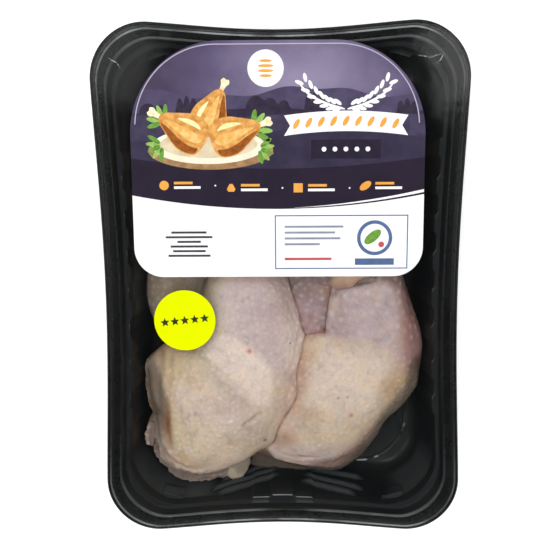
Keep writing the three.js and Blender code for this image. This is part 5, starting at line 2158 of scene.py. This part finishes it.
@dataclass(frozen=True)
class Studio:
    """The camera, the lights, the surroundings and the pale floor."""

    tilt: float = 10.4
    lean: float = -0.75
    roll: float = 0.22
    distance: float = 0.45
    focal_pixels: float = 867.8
    rim_pixel: Pair = (281.1, 288.6)
    image_pixels: int = 540
    rim_height: float = 0.05
    boxes: tuple[Softbox, ...] = (
        Softbox("overhead", (-0.05, 0.15, 1.5), (0, 0, 0), (0.9, 0.9), 14.1, mirrored=False),
        Softbox("back", (-0.1, 0.80, 1.2), (0, 0, 0), (0.9, 0.6), 5.0),
        Softbox("front", (0.0, -1.05, 1.15), (0, 0, 0), (0.9, 0.5), 3.2),
        Softbox("left", (-0.85, 0.0, 1.15), (0, 0, 0), (0.5, 0.9), 2.8),
        Softbox("right", (0.85, 0.0, 1.15), (0, 0, 0), (0.5, 0.9), 2.4),
        Softbox("sheen_left", (-0.30, 0.20, 1.25), (-0.08, 0.11, 0.05), (0.15, 0.12), 0.025),
        Softbox("sheen_right", (0.31, 0.20, 1.25), (0.08, 0.11, 0.05), (0.15, 0.12), 0.05),
    )

    def camera(self) -> None:
        """Adds the camera that the photograph's outline of the rim was fitted with."""
        view = (
            Matrix.Rotation(math.radians(self.roll), 3, "Z")
            @ Matrix.Rotation(math.radians(self.lean), 3, "Y")
            @ Matrix.Rotation(math.radians(self.tilt), 3, "X")
        )
        turned = view.transposed()
        data = bpy.data.cameras.new("camera")
        data.sensor_width = 36.0
        data.lens = self.focal_pixels * 36.0 / self.image_pixels
        middle = self.image_pixels / 2
        data.shift_x = (middle - self.rim_pixel[0]) / self.image_pixels
        data.shift_y = (self.rim_pixel[1] - middle) / self.image_pixels
        data.clip_start = 0.01
        camera = bpy.data.objects.new("camera", data)
        bpy.context.scene.collection.objects.link(camera)
        place = Vector((0, 0, self.rim_height)) + turned @ Vector((0, 0, self.distance))
        camera.matrix_world = Matrix.Translation(place) @ turned.to_4x4()
        bpy.context.scene.camera = camera

    def surroundings(self) -> None:
        """Sets a world that is dim overhead and brighter towards the horizon, as a studio's walls are."""
        world = bpy.data.worlds.new("studio")
        bpy.context.scene.world = world
        world.use_nodes = True
        tree = world.node_tree
        tree.nodes.clear()
        place = add_node(tree, "TexCoord").outputs["Generated"]
        height = add_node(tree, "SeparateXYZ", links={"Vector": place}).outputs["Z"]
        colour = set_ramp(
            add_node(tree, "ValToRGB", links={"Fac": height}),
            [(0.0, grey(0.36)), (0.35, grey(0.2)), (0.72, grey(0.09)), (0.9, grey(0.04)), (1.0, grey(0.035))],
        )
        light = add_node(tree, "Background", {"Strength": 1.0}, {"Color": colour})
        add_node(tree, "OutputWorld", links={"Surface": light})

    def floor(self) -> Piece:
        """Returns the plain pale floor that the pack lies on: a light table, lit softly from below."""
        deselect()
        bpy.ops.mesh.primitive_plane_add(size=6, location=(0, 0, 0))
        floor = bpy.context.object
        floor.name = floor.data.name = "studio_floor"
        material = bpy.data.materials.new("pale_floor_paper")
        material.use_nodes = True
        shader = material.node_tree.nodes["Principled BSDF"]
        glow = {"Emission Color": grey(1.0), "Emission Strength": 0.3}
        for name, value in {"Base Color": grey(0.92), "Roughness": 0.9, **glow}.items():
            shader.inputs[name].default_value = value
        floor.data.materials.append(material)
        return floor

    def build(self) -> None:
        """Sets the whole studio up."""
        bpy.context.scene.view_settings.view_transform = "Standard"
        self.camera()
        self.surroundings()
        for box in self.boxes:
            box.build()
        self.floor()


# The label's inks, each with the second tone of its patches and their size in mm
INKS = (
    Ink("far_hills", "#504864", "#47405a"),
    Ink("near_hills", "#363042", "#30283a", 4.0),
    Ink("field_far", "#48415a", "#3c364d", 7.0),
    Ink("field_near", "#3b354b", "#322c41", 11.0),
    Ink("dark_foot", "#2b2333", "#27202f", 12.0),
    Ink("pale_line", "#b9b2c6"),
    Ink("white", "#fafafa", "#fafafa"),
    Ink("white_paper", "#fafafa", "#fafafa"),
    Ink("board", "#94714d", "#af895d", 3.0),
    Ink("cream", "#faf2db", "#eee0c5", 8.0),
    Ink("cream_shade", "#e4d4b4", "#d2bf9b", 6.0),
    Ink("leaf", "#5f8f36", "#77a847", 1.6),
    Ink("leaf_light", "#87b451", "#9cc467", 1.6),
    Ink("bone", "#faf5d0", "#f5d8a8", 2.0),
    Ink("roast", "#e8ae60", "#c9853a", 3.2),
    Ink("roast_gold", "#f9ca7f", "#e8ab54", 2.6),
    Ink("red", "#c4555d", "#ba4d56"),
    Ink("roast_dark", "#a35d22", "#86481a", 2.4),
    Ink("gleam", "#fae49e", "#faf7bf", 2.0),
    Ink("orange", "#eea94c", "#e79f41"),
    Ink("plate", "#2c2637", "#272132"),
    Ink("blue", "#576e9a", "#50668c"),
    Ink("grey", "#8e96a4", "#848b9a"),
    Ink("black", "#454448", "#3b3a40"),
)


def main() -> None:
    """Builds the pack piece by piece on the CAD frame."""
    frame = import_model()
    Studio().build()

    tray = Tray()
    adopt(tray.build(), "tray_plastic", BlackTraySheet().build(), "tray")

    legs = (front_left_leg(), front_right_leg(), back_right_leg(), back_left_leg())
    pieces = {leg.node: leg.build(frame["nodes"][leg.node]) for leg in legs}
    surfaces = {node: surface_tree(piece) for node, piece in pieces.items()}
    # Each leg's crease tint, painted shade where it lies against a neighbour
    crease_shades = {leg.node: leg.crease for leg in legs}
    for one, other, reach in TOUCHING:
        close_gap(pieces[one], surfaces[other], reach, crease_shades[one])
        close_gap(pieces[other], surfaces[one], reach, crease_shades[other])
    skin = RawChickenSkin().build()
    for leg in legs:
        adopt(add_flaps(pieces[leg.node], leg.flaps), "chicken_skin", skin, leg.node)

    film = Film()
    adopt(film.build(tray), "lid_film", LiddingFilm().build(), "film")
    # The creases' painted highlights
    adopt(film.crease_highlights(), "lid_film", CreaseHighlightFilm().build())

    label = Label()
    paper = Ink("coated_label_paper", "#fafafa", "#f8f9f9")
    adopt(label.build(), "label_paper", paper.build(), "label")
    finishes: dict[str, Finish] = {ink.name: ink for ink in INKS}
    finishes["dusk"] = DuskInk()
    for colour, piece in label.print_all().items():
        adopt(piece, "label_paper", finishes[colour].build())

    sticker = Sticker()
    yellow = Ink("fluorescent_sticker_paper", "#e3f000", "#dfec00", 9.0, gloss=0.04)
    adopt(sticker.build(), "sticker_paper", yellow.build(), "sticker")
    adopt(sticker.star_row(), "sticker_paper", Ink("sticker_ink", "#373c1f", "#2c3015", 2.0).build())


if __name__ == "__main__":
    logging.basicConfig(level=logging.INFO, format="%(name)s: %(message)s")
    main()
